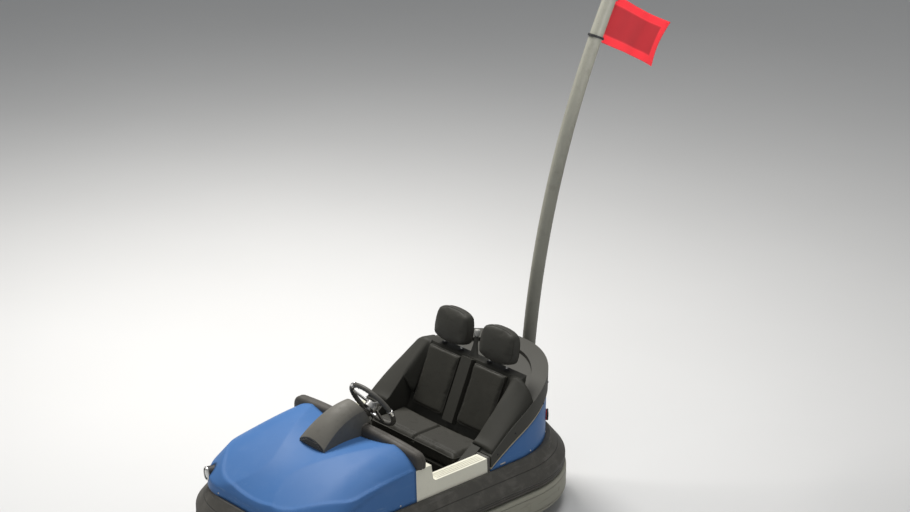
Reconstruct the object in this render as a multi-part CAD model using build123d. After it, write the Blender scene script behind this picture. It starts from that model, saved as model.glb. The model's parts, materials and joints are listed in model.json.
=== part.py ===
from build123d import *

import math
import os

# Bumper car: a two-seat fairground car with a rubber bumper ring, a steered drive wheel and a mast.
# All sizes are millimetres. X points forward, Y to the riders' left and Z up, with Z = 0 on the floor.
# The car is laid out about X = 0 under the middle of the bumper. At the end everything moves forward,
# so that the origin is under the middle of the whole object, mast and flag included.

# ---------------------------------------------------------------- sizes
SEAT = 0.3  # gap left where one piece rests on another

# Bumper ring, outer outline in plan
BUMPER_FRONT = 992
BUMPER_REAR = 1040
BUMPER_HALF_WIDTH = 580
BUMPER_FRONT_RADIUS = 420
BUMPER_REAR_FLAT = 55  # half width of the straight run across the stern
BAND_DEPTH = 104  # light lower band, from the steel channel outwards
BAND_BOTTOM = 82
BAND_TOP = 222
BAND_ROUND = 22
ROLL_DEPTH = 98  # dark upper roll
ROLL_BOTTOM = 227
ROLL_TOP = 380
ROLL_NOSE = 52  # height of the roll's outer face
RUBBER = 14
ROLL_ROUND = 16

# Steel channel that carries the bumper and the body
CHANNEL_WALL = 3
CHANNEL_BOTTOM = 92
CHANNEL_TOP = 380
CHANNEL_FLANGE = 62
FLANGE_SHEET = 4
CORNER_LENGTHS = 4  # of sheet round each corner

# Chassis of square tube
RAIL = 40
RAIL_WALL = 3
RAIL_BOTTOM = 121
RAIL_Y = 275
FRAME_FRONT = 745
FRAME_REAR = 850
CROSS_MEMBERS = (-740, -440, -150, 300)  # x of the middle of each
FLOOR_SHEET = 3
TRAY_HALF_WIDTH = 411
TRAY_REAR = -166
TRAY_FRONT = 322

# Body shells
SHELL = 6
BODY_OVERHANG = 4
BODY_FRONT_RADIUS = 240
BODY_REAR_FLAT = 24  # half width of the flat in the middle of the stern
BONNET_LEAN = 0.15  # inward lean of the bonnet's walls, per millimetre of height
REAR_LEAN = 0.03
STERN_LEAN = 0.03

# Bonnet roof
ROOF_MARGIN = 40  # from the channel's side out to the roof's edge line
ROOF_KNEE = 305  # half width of the flatter middle of the roof
ROOF_STATIONS = (  # x, height at the edge line, at the knee and on the centre line
    (0, 514, 632, 642),
    (450, 493, 608, 620),
    (700, 470, 534, 542),
    (1000, 342, 386, 392),
)
NOSE_CREASE = 418  # height at the nose of the edge between the wall and the bevel over it
NOSE_TILT = 0.22  # rise of that edge towards the rear
NOSE_SLOPE = 0.75  # of the bevel's upper end
NOSE_RISE = 90  # of the bevel's broad lower part, with its runs inwards at the nose and at the sides
NOSE_RUN = 64
NOSE_SIDE_RUN = 16
NOSE_RADIUS = 440  # of its upper corners
VALLEY_RADIUS = 1200  # across the shallow valley along the middle of the roof
VALLEY = ((150, 583), (478, 596), (720, 530))  # x and height of its floor

# Dash pad, panel and bulkhead
DASH_CENTRE = 214  # x of the bonnet's rear edge on the centre line
DASH_SIDE = 206  # and at the sides
PAD_DEPTH = 64
PAD_PROUD = 20  # beyond the body's sides
PAD_CROWN = 657
PAD_SHOULDER = 628  # height of the pad's top at its ends, before rounding
PAD_END_ROUND = 56
PAD_BELOW = 34  # how far the pad hangs under the bonnet's roof
PAD_ROUND = 22
PANEL_SHEET = 12
PANEL_BACK = 36  # how far the panel stands behind the bonnet's rear edge
PANEL_BOTTOM = 430
BULKHEAD_SHEET = 4
BULKHEAD_TOP = 585

# Scoop over the steering column
SCOOP_STATIONS = (  # x, half width, side height, crown height
    (478, 96, 612, 645),
    (310, 80, 714, 757),
    (110, 64, 716, 760),
)
SCOOP_WALL = 5
SCOOP_GAP = 84  # from the steering wheel's middle plane

# Steering wheel and column
WHEEL_X = 79
WHEEL_Z = 704
COLUMN_ANGLE = 31
GRIP_RING = 138
GRIP = 13
SPOKES = 3
SPOKE_WIDTH = 26
SPOKE_SHEET = 6
HUB_RADIUS = 34
HUB_HEIGHT = 30
SHAFT_RADIUS = 11
COLUMN_RADIUS = 20
RUNNING_FIT = 0.06

# Sills
SILL_REAR = -283
SILL_POST = 98  # length of the upright at the dash
SILL_DEPTH = 74
SILL_TOP = 458
SILL_POST_TOP = 548
SILL_ROUND = 24

# Coaming round the rear body, side profile through three points
COAMING_FRONT = -288
COAMING_LINE = ((-288, 392), (-640, 572), (-1020, 668))  # x and height of its lower edge
COAMING_HEIGHT = (72, 108, 110)  # above the lower edge at the same three points
COAMING_PROUD = 7
COAMING_WIDTH = 80
TRIM_HEIGHT = 11
TRIM_PROUD = 4
TRIM_DEPTH = 12
DECK_FRONT = -676
DECK_BELOW = 20
DECK_SHEET = 8

# Seat tub, with the side profile of its outside
SEAT_FRONT = -172
SEAT_HALF_WIDTH = 398
SEAT_SPACE = 334  # half width between the side bolsters
SEAT_BASE = 356
SEAT_BACK_FOOT = -420
SEAT_BACK_TOP = (-600, 758)
SEAT_CROWN = 56
SEAT_BOX_REAR = -470
BOLSTER = ((-172, 400), (-330, 505), (-470, 640))  # x and height along the top of a side bolster
TUB_WALL = 10
DIVIDER_HALF = 38
DIVIDER_DEPTH = 34
SEAT_PITCH = 346  # between the middles of the two places
CUSHION_TOP = 436
CUSHION_CLEAR = 5
CUSHION_ROUND = 22
BACK_PAD_WIDTH = 246
BACK_PAD_LENGTH = 300
BACK_PAD_DEPTH = 26
HEADREST_WIDTH = 268
HEADREST_HEIGHT = 196
HEADREST_DEPTH = 88
HEADREST_ROUND = 26
HEADREST_LIFT = 16
HEADREST_TILT = 12
POST_RADIUS = 8
POST_PITCH = 130

# Pedal
PEDAL_X = 205
PEDAL_Y = 120
PEDAL_WIDTH = 90
PEDAL_LENGTH = 150
PEDAL_SHEET = 8
PEDAL_ANGLE = 50

# Drive unit
SWIVEL_X = 520
DRIVE_RADIUS = 125
DRIVE_WIDTH = 70
DRIVE_RIM = 92
DRIVE_BORE = 14
PLATE_BOTTOM = 300
PLATE_SHEET = 8
PLATE_LENGTH = 300
POST_TUBE = 30
CROWN_RADIUS = 120
CROWN_SHEET = 12
KINGPIN = 50
KINGPIN_BORE_WALL = 12
FORK_SHEET = 10
FORK_GAP = 8
FORK_WIDTH = 70
MOTOR_RADIUS = 88
MOTOR_HEIGHT = 138
DRIVE_NUT = 20

# Rear wheels
AXLE_X = -600
REAR_RADIUS = 100
REAR_WIDTH = 50
REAR_RIM = 70
REAR_TRACK_HALF = 352
AXLE_TUBE = 18
STUB = 10
STUB_COLLAR = 8  # length of the collar that ends the stub
STUB_COLLAR_WALL = 6
AXLE_BLOCK = 56  # length of the blocks that hang the axle under the rails
HUB = 24
WEB = 8
RIM_WALL = 5
WHEEL_CLEAR = 5

# Lamps
LAMP_RADIUS = 36
LAMP_HEIGHT = 428
LAMP_ANGLE = 40
LAMP_PROUD = 12
LAMP_LENGTH = 60
LENS_RADIUS = 28
TAIL_ANGLE = 46  # round the stern's corner, from the side
TAIL_HEIGHT = 482
TAIL_RADIUS = 30
TAIL_PROUD = 12
TAIL_LENGTH = 30

# Mast, contact head and flag
MAST_RADIUS = 36
MAST_WALL = 3
MAST_X = -1019
MAST_Z = 737  # middle of the mast beside the coaming
MAST_LEAN = 6
MAST_BEND = 24
MAST_ARC = 1960
MAST_BELOW = 336
COLLAR_WALL = 7
COLLAR_HEIGHT = 36
COLLAR_SPACING = 170
BRACKET_WIDTH = 110
BRACKET_SHEET = 6
BRACKET_BOTTOM = 392
BRACKET_TOP = 628
MAST_POST = 40
YOKE_SHEET = 8
YOKE_GAP = 34
YOKE_HEIGHT = 70
PIN_RADIUS = 6
SHOE_LENGTH = 240
SHOE_WIDTH = 60
SHOE_SHEET = 14
FLAG_HOIST = 256
FLAG_FLY = 452
FLAG_DOWN = 62
FLAG_THICKNESS = 3
FLAG_RING = 8

# ---------------------------------------------------------------- plan outlines
CHANNEL = (
    BUMPER_FRONT - BAND_DEPTH,
    BUMPER_REAR - BAND_DEPTH,
    BUMPER_HALF_WIDTH - BAND_DEPTH,
    BUMPER_FRONT_RADIUS - BAND_DEPTH,
    BUMPER_HALF_WIDTH - BUMPER_REAR_FLAT - BAND_DEPTH,
)
BODY = (  # foot of the body's walls
    CHANNEL[0] + BODY_OVERHANG,
    CHANNEL[1] + BODY_OVERHANG,
    CHANNEL[2] + BODY_OVERHANG,
    BODY_FRONT_RADIUS,
    CHANNEL[2] + BODY_OVERHANG - BODY_REAR_FLAT,
)
BODY_BASE = CHANNEL_TOP + SEAT
BODY_REACH = 1.2 * SEAT_BACK_TOP[1]  # above every piece that the body's walls are cut into
ROOF_HALF_WIDTH = CHANNEL[2] + ROOF_MARGIN
FAR = BUMPER_FRONT + BUMPER_REAR  # beyond the whole bumper in any direction
TURN = 1 - math.sqrt(0.5)


def grown(outline, front, rear=None, side=None):
    """The plan outline (front, rear, half width, front radius, rear radius) moved outwards."""
    rear = front if rear is None else rear
    side = front if side is None else side
    return (outline[0] + front, outline[1] + rear, outline[2] + side, outline[3] + side, outline[4] + side)


def plan_wire(outline, z=0.0):
    front, rear, half, fore, aft = outline
    edges = []
    for side in (1, -1):
        nose, bow, shoulder = (front, 0), (front, half - fore), (front - fore, half)
        hip, stern, tail = (aft - rear, half), (-rear, half - aft), (-rear, 0)
        over_bow = (front - fore * TURN, half - fore * TURN)
        over_stern = (aft * TURN - rear, half - aft * TURN)
        nose, bow, shoulder, hip, stern, tail, over_bow, over_stern = [
            (x, side * y, z) for x, y in (nose, bow, shoulder, hip, stern, tail, over_bow, over_stern)
        ]
        edges += [
            Line(nose, bow).edge(),
            ThreePointArc(bow, over_bow, shoulder).edge(),
            Line(shoulder, hip).edge(),
            ThreePointArc(hip, over_stern, stern).edge(),
            Line(stern, tail).edge(),
        ]
    return Wire(edges[:5] + edges[:4:-1])


def plan_ring(profile, outline):
    """Carry a profile drawn in XZ, X counted outwards from the outline, round the whole outline."""
    front, rear, half, fore, aft = outline
    side = Rot(0, 0, 90) * profile
    back = Rot(0, 0, 180) * profile
    nose = Pos(front, 0, 0) * profile
    pieces = [extrude(nose, amount=half - fore, dir=(0, 1, 0))]
    corner = Pos(front, half - fore, 0) * profile
    pieces.append(revolve(corner, axis=Axis((front - fore, half - fore, 0), (0, 0, 1)), revolution_arc=90))
    run = front - fore + rear - aft
    pieces.append(extrude(Pos(front - fore, half, 0) * side, amount=run, dir=(-1, 0, 0)))
    corner = Pos(aft - rear, half, 0) * side
    pieces.append(revolve(corner, axis=Axis((aft - rear, half - aft, 0), (0, 0, 1)), revolution_arc=90))
    pieces.append(extrude(Pos(-rear, half - aft, 0) * back, amount=half - aft, dir=(0, -1, 0)))
    left = pieces[0].fuse(*pieces[1:])
    return left.fuse(mirror(left, about=Plane.XZ)).clean()


def plan_lengths(profile, outline):
    """The same ring as separate straight and curved lengths, each a gap from the next."""
    front, rear, half, fore, aft = outline
    side = Rot(0, 0, 90) * profile
    back = Rot(0, 0, 180) * profile
    gap = SEAT / 2
    left = [
        extrude(Pos(front, gap, 0) * profile, amount=half - fore - 2 * gap, dir=(0, 1, 0)),
        extrude(Pos(front - fore - gap, half, 0) * side, amount=front - fore + rear - aft - 2 * gap, dir=(-1, 0, 0)),
        extrude(Pos(-rear, half - aft - gap, 0) * back, amount=half - aft - 2 * gap, dir=(0, -1, 0)),
    ]
    sweep = 90 / CORNER_LENGTHS
    for centre, start, radius, first in (
        ((front - fore, half - fore, 0), Pos(front, half - fore, 0) * profile, fore, 0),
        ((aft - rear, half - aft, 0), Pos(aft - rear, half, 0) * side, aft, 90),
    ):
        away = math.degrees(gap / radius)
        for index in range(CORNER_LENGTHS):
            turn = Pos(*centre) * Rot(0, 0, sweep * index + away) * Pos(*[-c for c in centre])
            left.append(revolve(turn * start, axis=Axis(centre, (0, 0, 1)), revolution_arc=sweep - 2 * away))
    return left + [mirror(length, about=Plane.XZ) for length in left]


def upright(points):
    """A face in the XZ plane from (x, z) points."""
    return Face(Wire(Polyline(*[(x, 0, z) for x, z in points], close=True).edges()))


def across(face, half):
    """Extrude an XZ face along Y, to both sides."""
    return extrude(Pos(0, -half, 0) * face, amount=2 * half, dir=(0, 1, 0))


def box(x0, x1, y0, y1, z0, z1):
    return Pos((x0 + x1) / 2, (y0 + y1) / 2, (z0 + z1) / 2) * Box(x1 - x0, y1 - y0, z1 - z0)


def rod(start, end, radius):
    axis = Vector(*end) - Vector(*start)
    return Plane(origin=start, z_dir=axis) * Cylinder(radius, axis.length, align=(Align.CENTER, Align.CENTER, Align.MIN))


def both_sides(solid):
    return [solid, mirror(solid, about=Plane.XZ)]


# ---------------------------------------------------------------- bumper
def bumper_band():
    low, high, deep = BAND_BOTTOM, BAND_TOP, BAND_DEPTH
    outside = upright([(0, low), (deep, low), (deep, high), (0, high)])
    outside = fillet(outside.vertices().sort_by(Axis.X)[-2:], BAND_ROUND)
    inside = upright(
        [(-1, low + RUBBER), (deep - RUBBER, low + RUBBER), (deep - RUBBER, high - RUBBER), (-1, high - RUBBER)]
    )
    inside = fillet(inside.vertices().sort_by(Axis.X)[-2:], BAND_ROUND - RUBBER)
    return plan_ring((outside - inside).faces()[0], grown(CHANNEL, SEAT))


def roll_profile(inset, back):
    low, high, deep = ROLL_BOTTOM + inset, ROLL_TOP - inset, ROLL_DEPTH - inset
    points = [(back, low), (deep, low), (deep, ROLL_BOTTOM + ROLL_NOSE - inset / 2), (ROLL_ROUND, high), (back, high)]
    face = upright(points)
    outer = face.vertices().sort_by(Axis.X)[-2:]
    return fillet(outer, ROLL_ROUND - inset / 2)


def bumper_roll():
    return plan_ring((roll_profile(0, 0) - roll_profile(RUBBER, -1)).faces()[0], grown(CHANNEL, SEAT))


def bumper_carrier():
    """Upright wall sheets and flat flange sheets, in lengths set a welding gap apart."""
    wall = upright([(-CHANNEL_WALL, CHANNEL_BOTTOM), (0, CHANNEL_BOTTOM), (0, CHANNEL_TOP), (-CHANNEL_WALL, CHANNEL_TOP)])
    inner, low = -CHANNEL_WALL - SEAT, CHANNEL_TOP - FLANGE_SHEET
    flange = upright([(-CHANNEL_FLANGE, low), (inner, low), (inner, CHANNEL_TOP), (-CHANNEL_FLANGE, CHANNEL_TOP)])
    return plan_lengths(wall, CHANNEL) + plan_lengths(flange, CHANNEL)


# ---------------------------------------------------------------- chassis
def square_tube(x0, x1, y0, y1, z0, wall):
    """Square tube along X if it is longer that way, else along Y."""
    outside = box(x0, x1, y0, y1, z0, z0 + RAIL)
    if x1 - x0 > y1 - y0:
        return outside - box(x0 - 1, x1 + 1, y0 + wall, y1 - wall, z0 + wall, z0 + RAIL - wall)
    return outside - box(x0 + wall, x1 - wall, y0 - 1, y1 + 1, z0 + wall, z0 + RAIL - wall)


def reach_y(x):
    """Half width of the channel's inside at a station along the car."""
    front, rear, half, fore, aft = grown(CHANNEL, -CHANNEL_WALL)
    if x > front - fore:
        return half - fore + math.sqrt(max(fore**2 - (x - front + fore) ** 2, 0))
    if x < aft - rear:
        return half - aft + math.sqrt(max(aft**2 - (x - aft + rear) ** 2, 0))
    return half


def chassis_frame():
    """Ladder frame of square tubes, each set a welding gap from the next."""
    tubes = [
        square_tube(-FRAME_REAR, FRAME_FRONT, side * RAIL_Y - RAIL / 2, side * RAIL_Y + RAIL / 2, RAIL_BOTTOM, RAIL_WALL)
        for side in (-1, 1)
    ]
    inner = RAIL_Y - RAIL / 2 - SEAT
    outer_start = RAIL_Y + RAIL / 2 + SEAT
    stations = [FRAME_FRONT - RAIL / 2, RAIL / 2 - FRAME_REAR] + list(CROSS_MEMBERS)
    for x in stations:
        tubes.append(square_tube(x - RAIL / 2, x + RAIL / 2, -inner, inner, RAIL_BOTTOM, RAIL_WALL))
        outer_end = min(reach_y(x - RAIL / 2), reach_y(x + RAIL / 2)) - SEAT
        if outer_end > outer_start + RAIL:
            for side in (-1, 1):
                low, high = sorted((side * outer_start, side * outer_end))
                tubes.append(square_tube(x - RAIL / 2, x + RAIL / 2, low, high, RAIL_BOTTOM, RAIL_WALL))
    # Short arms carry the ring's nose and stern.
    front, rear = CHANNEL[0] - CHANNEL_WALL - SEAT, CHANNEL[1] - CHANNEL_WALL - SEAT
    for low, high in ((FRAME_FRONT + SEAT, front), (-rear, -FRAME_REAR - SEAT)):
        tubes.append(square_tube(low, high, -RAIL / 2, RAIL / 2, RAIL_BOTTOM, RAIL_WALL))
    # Posts lift the turntable plate over the wheel.
    half = (PLATE_LENGTH - POST_TUBE) / 2
    for x in (SWIVEL_X - half, SWIVEL_X + half):
        for y in (-RAIL_Y, RAIL_Y):
            tubes.append(
                box(
                    x - POST_TUBE / 2,
                    x + POST_TUBE / 2,
                    y - POST_TUBE / 2,
                    y + POST_TUBE / 2,
                    RAIL_BOTTOM + RAIL + SEAT,
                    PLATE_BOTTOM - SEAT,
                )
            )
    return tubes


def turntable_plate():
    half = PLATE_LENGTH / 2
    plate = box(SWIVEL_X - half, SWIVEL_X + half, -RAIL_Y - RAIL / 2, RAIL_Y + RAIL / 2, PLATE_BOTTOM, PLATE_BOTTOM + PLATE_SHEET)
    boss = Pos(SWIVEL_X, 0, PLATE_BOTTOM - 20) * Cylinder(
        KINGPIN + KINGPIN_BORE_WALL, 20, align=(Align.CENTER, Align.CENTER, Align.MIN)
    )
    hole = Pos(SWIVEL_X, 0, PLATE_BOTTOM) * Cylinder(KINGPIN + RUNNING_FIT, 100)
    return plate + boss - hole


def floor_tray():
    low = RAIL_BOTTOM + RAIL + SEAT
    high = CHANNEL_TOP - FLANGE_SHEET - SEAT
    out = box(TRAY_REAR, TRAY_FRONT, -TRAY_HALF_WIDTH, TRAY_HALF_WIDTH, low, high)
    return out - box(
        TRAY_REAR - 1, TRAY_FRONT + 1, FLOOR_SHEET - TRAY_HALF_WIDTH, TRAY_HALF_WIDTH - FLOOR_SHEET, low + FLOOR_SHEET, high + 1
    )


def bulkhead(roof_inside):
    low = RAIL_BOTTOM + RAIL + SEAT
    x0, x1 = TRAY_FRONT - SEAT, TRAY_FRONT + BULKHEAD_SHEET
    upper = box(x0, x1, -TRAY_HALF_WIDTH, TRAY_HALF_WIDTH, CHANNEL_TOP - FLANGE_SHEET, BULKHEAD_TOP) & roof_inside
    lower = box(x0, x1, -TRAY_HALF_WIDTH, TRAY_HALF_WIDTH, low, CHANNEL_TOP - FLANGE_SHEET - SEAT)
    join = box(x0, x1, SEAT - TRAY_HALF_WIDTH, TRAY_HALF_WIDTH - SEAT, CHANNEL_TOP - 10, CHANNEL_TOP + 10)
    return upper + join + lower - column_rod(-60, 500, COLUMN_RADIUS + SEAT)


# ---------------------------------------------------------------- body volumes
def body_volume(outset):
    """Closed volume of the body, from the channel up, with every wall moved outwards by outset."""
    base = grown(BODY, outset)
    rise = BODY_REACH - BODY_BASE
    lean = BONNET_LEAN * rise
    head = grown(base, -lean, STERN_LEAN * rise, -REAR_LEAN * rise)
    return Solid.make_loft([plan_wire(base, BODY_BASE - 10), plan_wire(head, BODY_REACH)], ruled=True)


def slab(x0, x1, z0, z1):
    """Everything between two stations and two heights, whatever the width."""
    return box(x0, x1, -FAR, FAR, z0, z1)


def roof_shape():
    sections = []
    low = BODY_BASE - 60
    half = ROOF_HALF_WIDTH
    for x, edge, knee, crown in ROOF_STATIONS:
        middle = ThreePointArc((x, -ROOF_KNEE, knee), (x, 0, crown), (x, ROOF_KNEE, knee)).edge()
        right = TangentArc((x, -ROOF_KNEE, knee), (x, -half, edge), tangent=middle % 0 * -1).edge()
        left = TangentArc((x, ROOF_KNEE, knee), (x, half, edge), tangent=middle % 1).edge()
        sides = Polyline((x, half, edge), (x, half, low), (x, -half, low), (x, -half, edge)).edges()
        sections.append(Wire([right, middle, left] + list(sides)))
    volume = Solid.make_loft(sections, ruled=False)
    floor = ThreePointArc(*[(x, 0, z) for x, z in VALLEY]).edge()
    valley = Rot(90, 0, 0) * Torus(floor.radius + VALLEY_RADIUS, VALLEY_RADIUS)
    return volume - Pos(*floor.arc_center) * valley


def roof_volume(drop):
    """Everything under the bonnet's roof, moved down by drop."""
    return Pos(0, 0, -drop) * roof_shape()


def dash_edge(offset):
    """Everything behind the curved rear edge of the bonnet, the edge moved forward by offset."""
    half = ROOF_HALF_WIDTH + 60
    arc = ThreePointArc((DASH_SIDE + offset, -half, 0), (DASH_CENTRE + offset, 0, 0), (DASH_SIDE + offset, half, 0))
    back = Polyline((DASH_SIDE + offset, half, 0), (-FAR, half, 0), (-FAR, -half, 0), (DASH_SIDE + offset, -half, 0))
    return extrude(Face(Wire(arc.edges() + back.edges())), amount=BODY_REACH, dir=(0, 0, 1))


def column_point(along, lift=0.0):
    """A point on the steering column, counted down it from the steering wheel's middle."""
    angle = math.radians(COLUMN_ANGLE)
    return (
        WHEEL_X + along * math.cos(angle) + lift * math.sin(angle),
        0,
        WHEEL_Z - along * math.sin(angle) + lift * math.cos(angle),
    )


def column_rod(start, end, radius):
    return rod(column_point(start), column_point(end), radius)


def nose_bevel(inset):
    """Everything under the sloping band between the front's walls and the roof."""
    drop = NOSE_CREASE - BODY_BASE
    run, skirt = NOSE_RADIUS / 2, BUMPER_HALF_WIDTH
    outline = grown(BODY, -BONNET_LEAN * drop, 0, -REAR_LEAN * drop)
    outline = grown(outline, -inset / math.sin(math.atan(NOSE_SLOPE)))
    upper = grown(outline, -NOSE_RUN, 0, -NOSE_SIDE_RUN)
    upper = upper[:3] + (NOSE_RADIUS - inset,) + upper[4:]
    cone = Solid.make_loft(
        [
            plan_wire(grown(outline, skirt), -skirt * NOSE_SLOPE),
            plan_wire(outline),
            plan_wire(upper, NOSE_RISE),
            plan_wire(grown(upper, -run), NOSE_RISE + run * NOSE_SLOPE),
        ],
        ruled=True,
    )
    tilt = math.degrees(math.atan(NOSE_TILT))
    return Pos(outline[0], 0, NOSE_CREASE) * Rot(0, tilt, 0) * Pos(-outline[0], 0, 0) * cone


def bonnet_volume(inset):
    """The bonnet as a closed block, its walls and roof moved inwards by inset."""
    block = body_volume(-inset) & roof_volume(inset) & nose_bevel(inset)
    return block & slab(DASH_SIDE - PAD_DEPTH, FAR, BODY_BASE - inset, FAR)


def bonnet(outer, inner):
    shell = outer - inner
    shell -= dash_edge(SEAT)
    slot = box(DASH_CENTRE, TRAY_FRONT + 40, -COLUMN_RADIUS - 8, COLUMN_RADIUS + 8, BULKHEAD_TOP - 60, 760)
    shell -= slot
    for lamp in both_sides(lamp_axis(LAMP_RADIUS, -200, 200)):
        shell -= lamp
    return shell


# ---------------------------------------------------------------- dash
def dash_pad():
    """Padded roll over the bonnet's rear edge, its ends resting on the sills' uprights."""
    half = BODY[2] - REAR_LEAN * (SILL_POST_TOP - BODY_BASE) + PAD_PROUD
    low = SILL_POST_TOP + SEAT
    top = ThreePointArc((0, -half, PAD_SHOULDER), (0, 0, PAD_CROWN), (0, half, PAD_SHOULDER))
    legs = Polyline((0, half, PAD_SHOULDER), (0, half, low), (0, -half, low), (0, -half, PAD_SHOULDER))
    face = Face(Wire(top.edges() + legs.edges()))
    corners = [v for v in face.vertices() if v.Z > low + 1]
    face = fillet(corners, PAD_END_ROUND)
    band = extrude(face, amount=DASH_CENTRE + DASH_SIDE, dir=(1, 0, 0)) & dash_edge(0)
    band -= dash_edge(-PAD_DEPTH)
    ridge = [e for e in band.edges() if e.center().Z > low + 20 and abs(e.bounding_box().size.X) < 10]
    band = fillet(ridge, PAD_ROUND)
    inner = CHANNEL[2] - SILL_DEPTH
    middle = box(0, FAR, -inner, inner, 0, FAR)
    band -= roof_volume(PAD_BELOW) & middle
    return band - rod(column_point(0), column_point(200), COLUMN_RADIUS + 4)


def dash_panel(side_volume):
    sheet = roof_volume(PAD_BELOW + SEAT) & dash_edge(-PANEL_BACK) & side_volume
    sheet -= dash_edge(-PANEL_BACK - PANEL_SHEET)
    half = CHANNEL[2] - SILL_DEPTH - REAR_LEAN * (SILL_POST_TOP - BODY_BASE)
    return sheet & box(0, FAR, -half, half, PANEL_BOTTOM, FAR)


def scoop(roof, pad):
    """Hump over the column, open at the rear and closed by a short upright face in front."""

    def section(wall):
        rows = []
        for x, half, side, crown in SCOOP_STATIONS:
            low = BODY_BASE + 100
            top = ThreePointArc((x, wall - half, side - wall), (x, 0, crown - wall), (x, half - wall, side - wall))
            legs = Polyline((x, half - wall, side - wall), (x, half - wall, low), (x, wall - half, low), (x, wall - half, side - wall))
            rows.append(Wire(top.edges() + legs.edges()))
        return Solid.make_loft(rows, ruled=False)

    shell = section(0) - (section(SCOOP_WALL) - slab(SCOOP_STATIONS[0][0] - SCOOP_WALL, FAR, 0, FAR))
    # The rear face lies parallel to the steering wheel.
    cut = Plane(origin=column_point(SCOOP_GAP), z_dir=Vector(*column_point(0)) - Vector(*column_point(10)))
    shell = split(shell, bisect_by=cut, keep=Keep.BOTTOM)
    return shell - roof - pad - slab(-FAR, DASH_SIDE - PAD_DEPTH, 0, PAD_CROWN)


# ---------------------------------------------------------------- sills, rear body, coaming
def sills(outer, inner_wall):
    post = DASH_SIDE - SILL_POST
    slope = SILL_ROUND / 2  # the upright's rear edge leans this much
    face = upright(
        [
            (SILL_REAR, BODY_BASE - 20),
            (FAR, BODY_BASE - 20),
            (FAR, SILL_POST_TOP),
            (post, SILL_POST_TOP),
            (post - slope, SILL_TOP),
            (SILL_REAR, SILL_TOP),
        ]
    )
    corner = [v for v in face.vertices() if abs(v.X - post + slope) < 1 and abs(v.Z - SILL_TOP) < 1]
    face = fillet(corner, SILL_ROUND)
    strip = across(face, FAR) & dash_edge(0) & slab(-FAR, FAR, BODY_BASE, FAR)
    skin = (outer - inner_wall) & strip
    hollow = across(Pos(0, 0, -SHELL) * face, FAR) & slab(SILL_REAR + SHELL, DASH_SIDE - 30, BODY_BASE - 50, FAR)
    hollow = hollow & (body_volume(-SHELL) - body_volume(SHELL - SILL_DEPTH))
    return skin - hollow


def coaming_edge(raised):
    """Arc along the coaming's lower edge, or raised to its top (1) or by a share of its height."""
    points = [(x, 0, z + raised * h) for (x, z), h in zip(COAMING_LINE, COAMING_HEIGHT)]
    return ThreePointArc(*points)


def profile_under(lift, raised=0.0, top=False):
    """XZ face under the coaming's lower or upper edge, moved up by lift."""
    arc = Pos(0, 0, lift) * coaming_edge(raised)
    start, end = arc @ 0, arc @ 1
    low = BODY_BASE - 60
    lines = Polyline((end.X, 0, end.Z), (end.X - 60, 0, end.Z), (end.X - 60, 0, low), (start.X, 0, low), (start.X, 0, start.Z))
    return Face(Wire(arc.edges() + lines.edges()))


def rear_body():
    shell = body_volume(0) - body_volume(-SHELL)
    keep = across(profile_under(-SEAT), FAR) & slab(-FAR, COAMING_FRONT, BODY_BASE, FAR)
    shell = shell & keep
    for lamp in tail_axes(TAIL_RADIUS, -60, 60):
        shell -= lamp
    return shell


def coaming():
    outer = body_volume(COAMING_PROUD) - body_volume(-COAMING_WIDTH)
    outer = outer & (across(profile_under(0, 1), FAR) - across(profile_under(TRIM_HEIGHT + SEAT), FAR))
    inner = body_volume(COAMING_PROUD - SHELL) - body_volume(SHELL - COAMING_WIDTH)
    inner = inner & across(profile_under(-SHELL, 1), FAR) & slab(-FAR, COAMING_FRONT - SHELL, 0, FAR)
    return outer - inner


def rim_trim():
    ring = body_volume(TRIM_PROUD) - body_volume(TRIM_PROUD - TRIM_DEPTH)
    return ring & (across(profile_under(TRIM_HEIGHT), FAR) - across(profile_under(0), FAR))


def deck():
    area = body_volume(-COAMING_WIDTH - SEAT) & (
        across(profile_under(-DECK_BELOW, 1), FAR) - across(profile_under(-DECK_BELOW - DECK_SHEET, 1), FAR)
    )
    return area & slab(-FAR, DECK_FRONT, 0, FAR)


# ---------------------------------------------------------------- seat
def seat_outline():
    (back_x, back_z) = SEAT_BACK_TOP
    floor = RAIL_BOTTOM + RAIL + SEAT
    crown = (back_x - SEAT_CROWN, back_z)
    lean = (SEAT_BACK_FOOT - back_x) / (back_z - SEAT_BASE)
    knee = CHANNEL_TOP + 14
    rear_foot = (crown[0] + lean * (back_z - knee), knee)
    return [(SEAT_FRONT, floor)] + list(BOLSTER) + [SEAT_BACK_TOP, crown, rear_foot, (SEAT_BOX_REAR, knee), (SEAT_BOX_REAR, floor)]


def seat_space(wall):
    (back_x, back_z) = SEAT_BACK_TOP
    lean = (SEAT_BACK_FOOT - back_x) / (back_z - SEAT_BASE)
    top = 900
    return upright(
        [
            (SEAT_FRONT + 100, SEAT_BASE - wall),
            (SEAT_BACK_FOOT - wall, SEAT_BASE - wall),
            (SEAT_BACK_FOOT - wall - lean * (top - SEAT_BASE + wall), top),
            (SEAT_FRONT + 100, top),
        ]
    )


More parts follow.
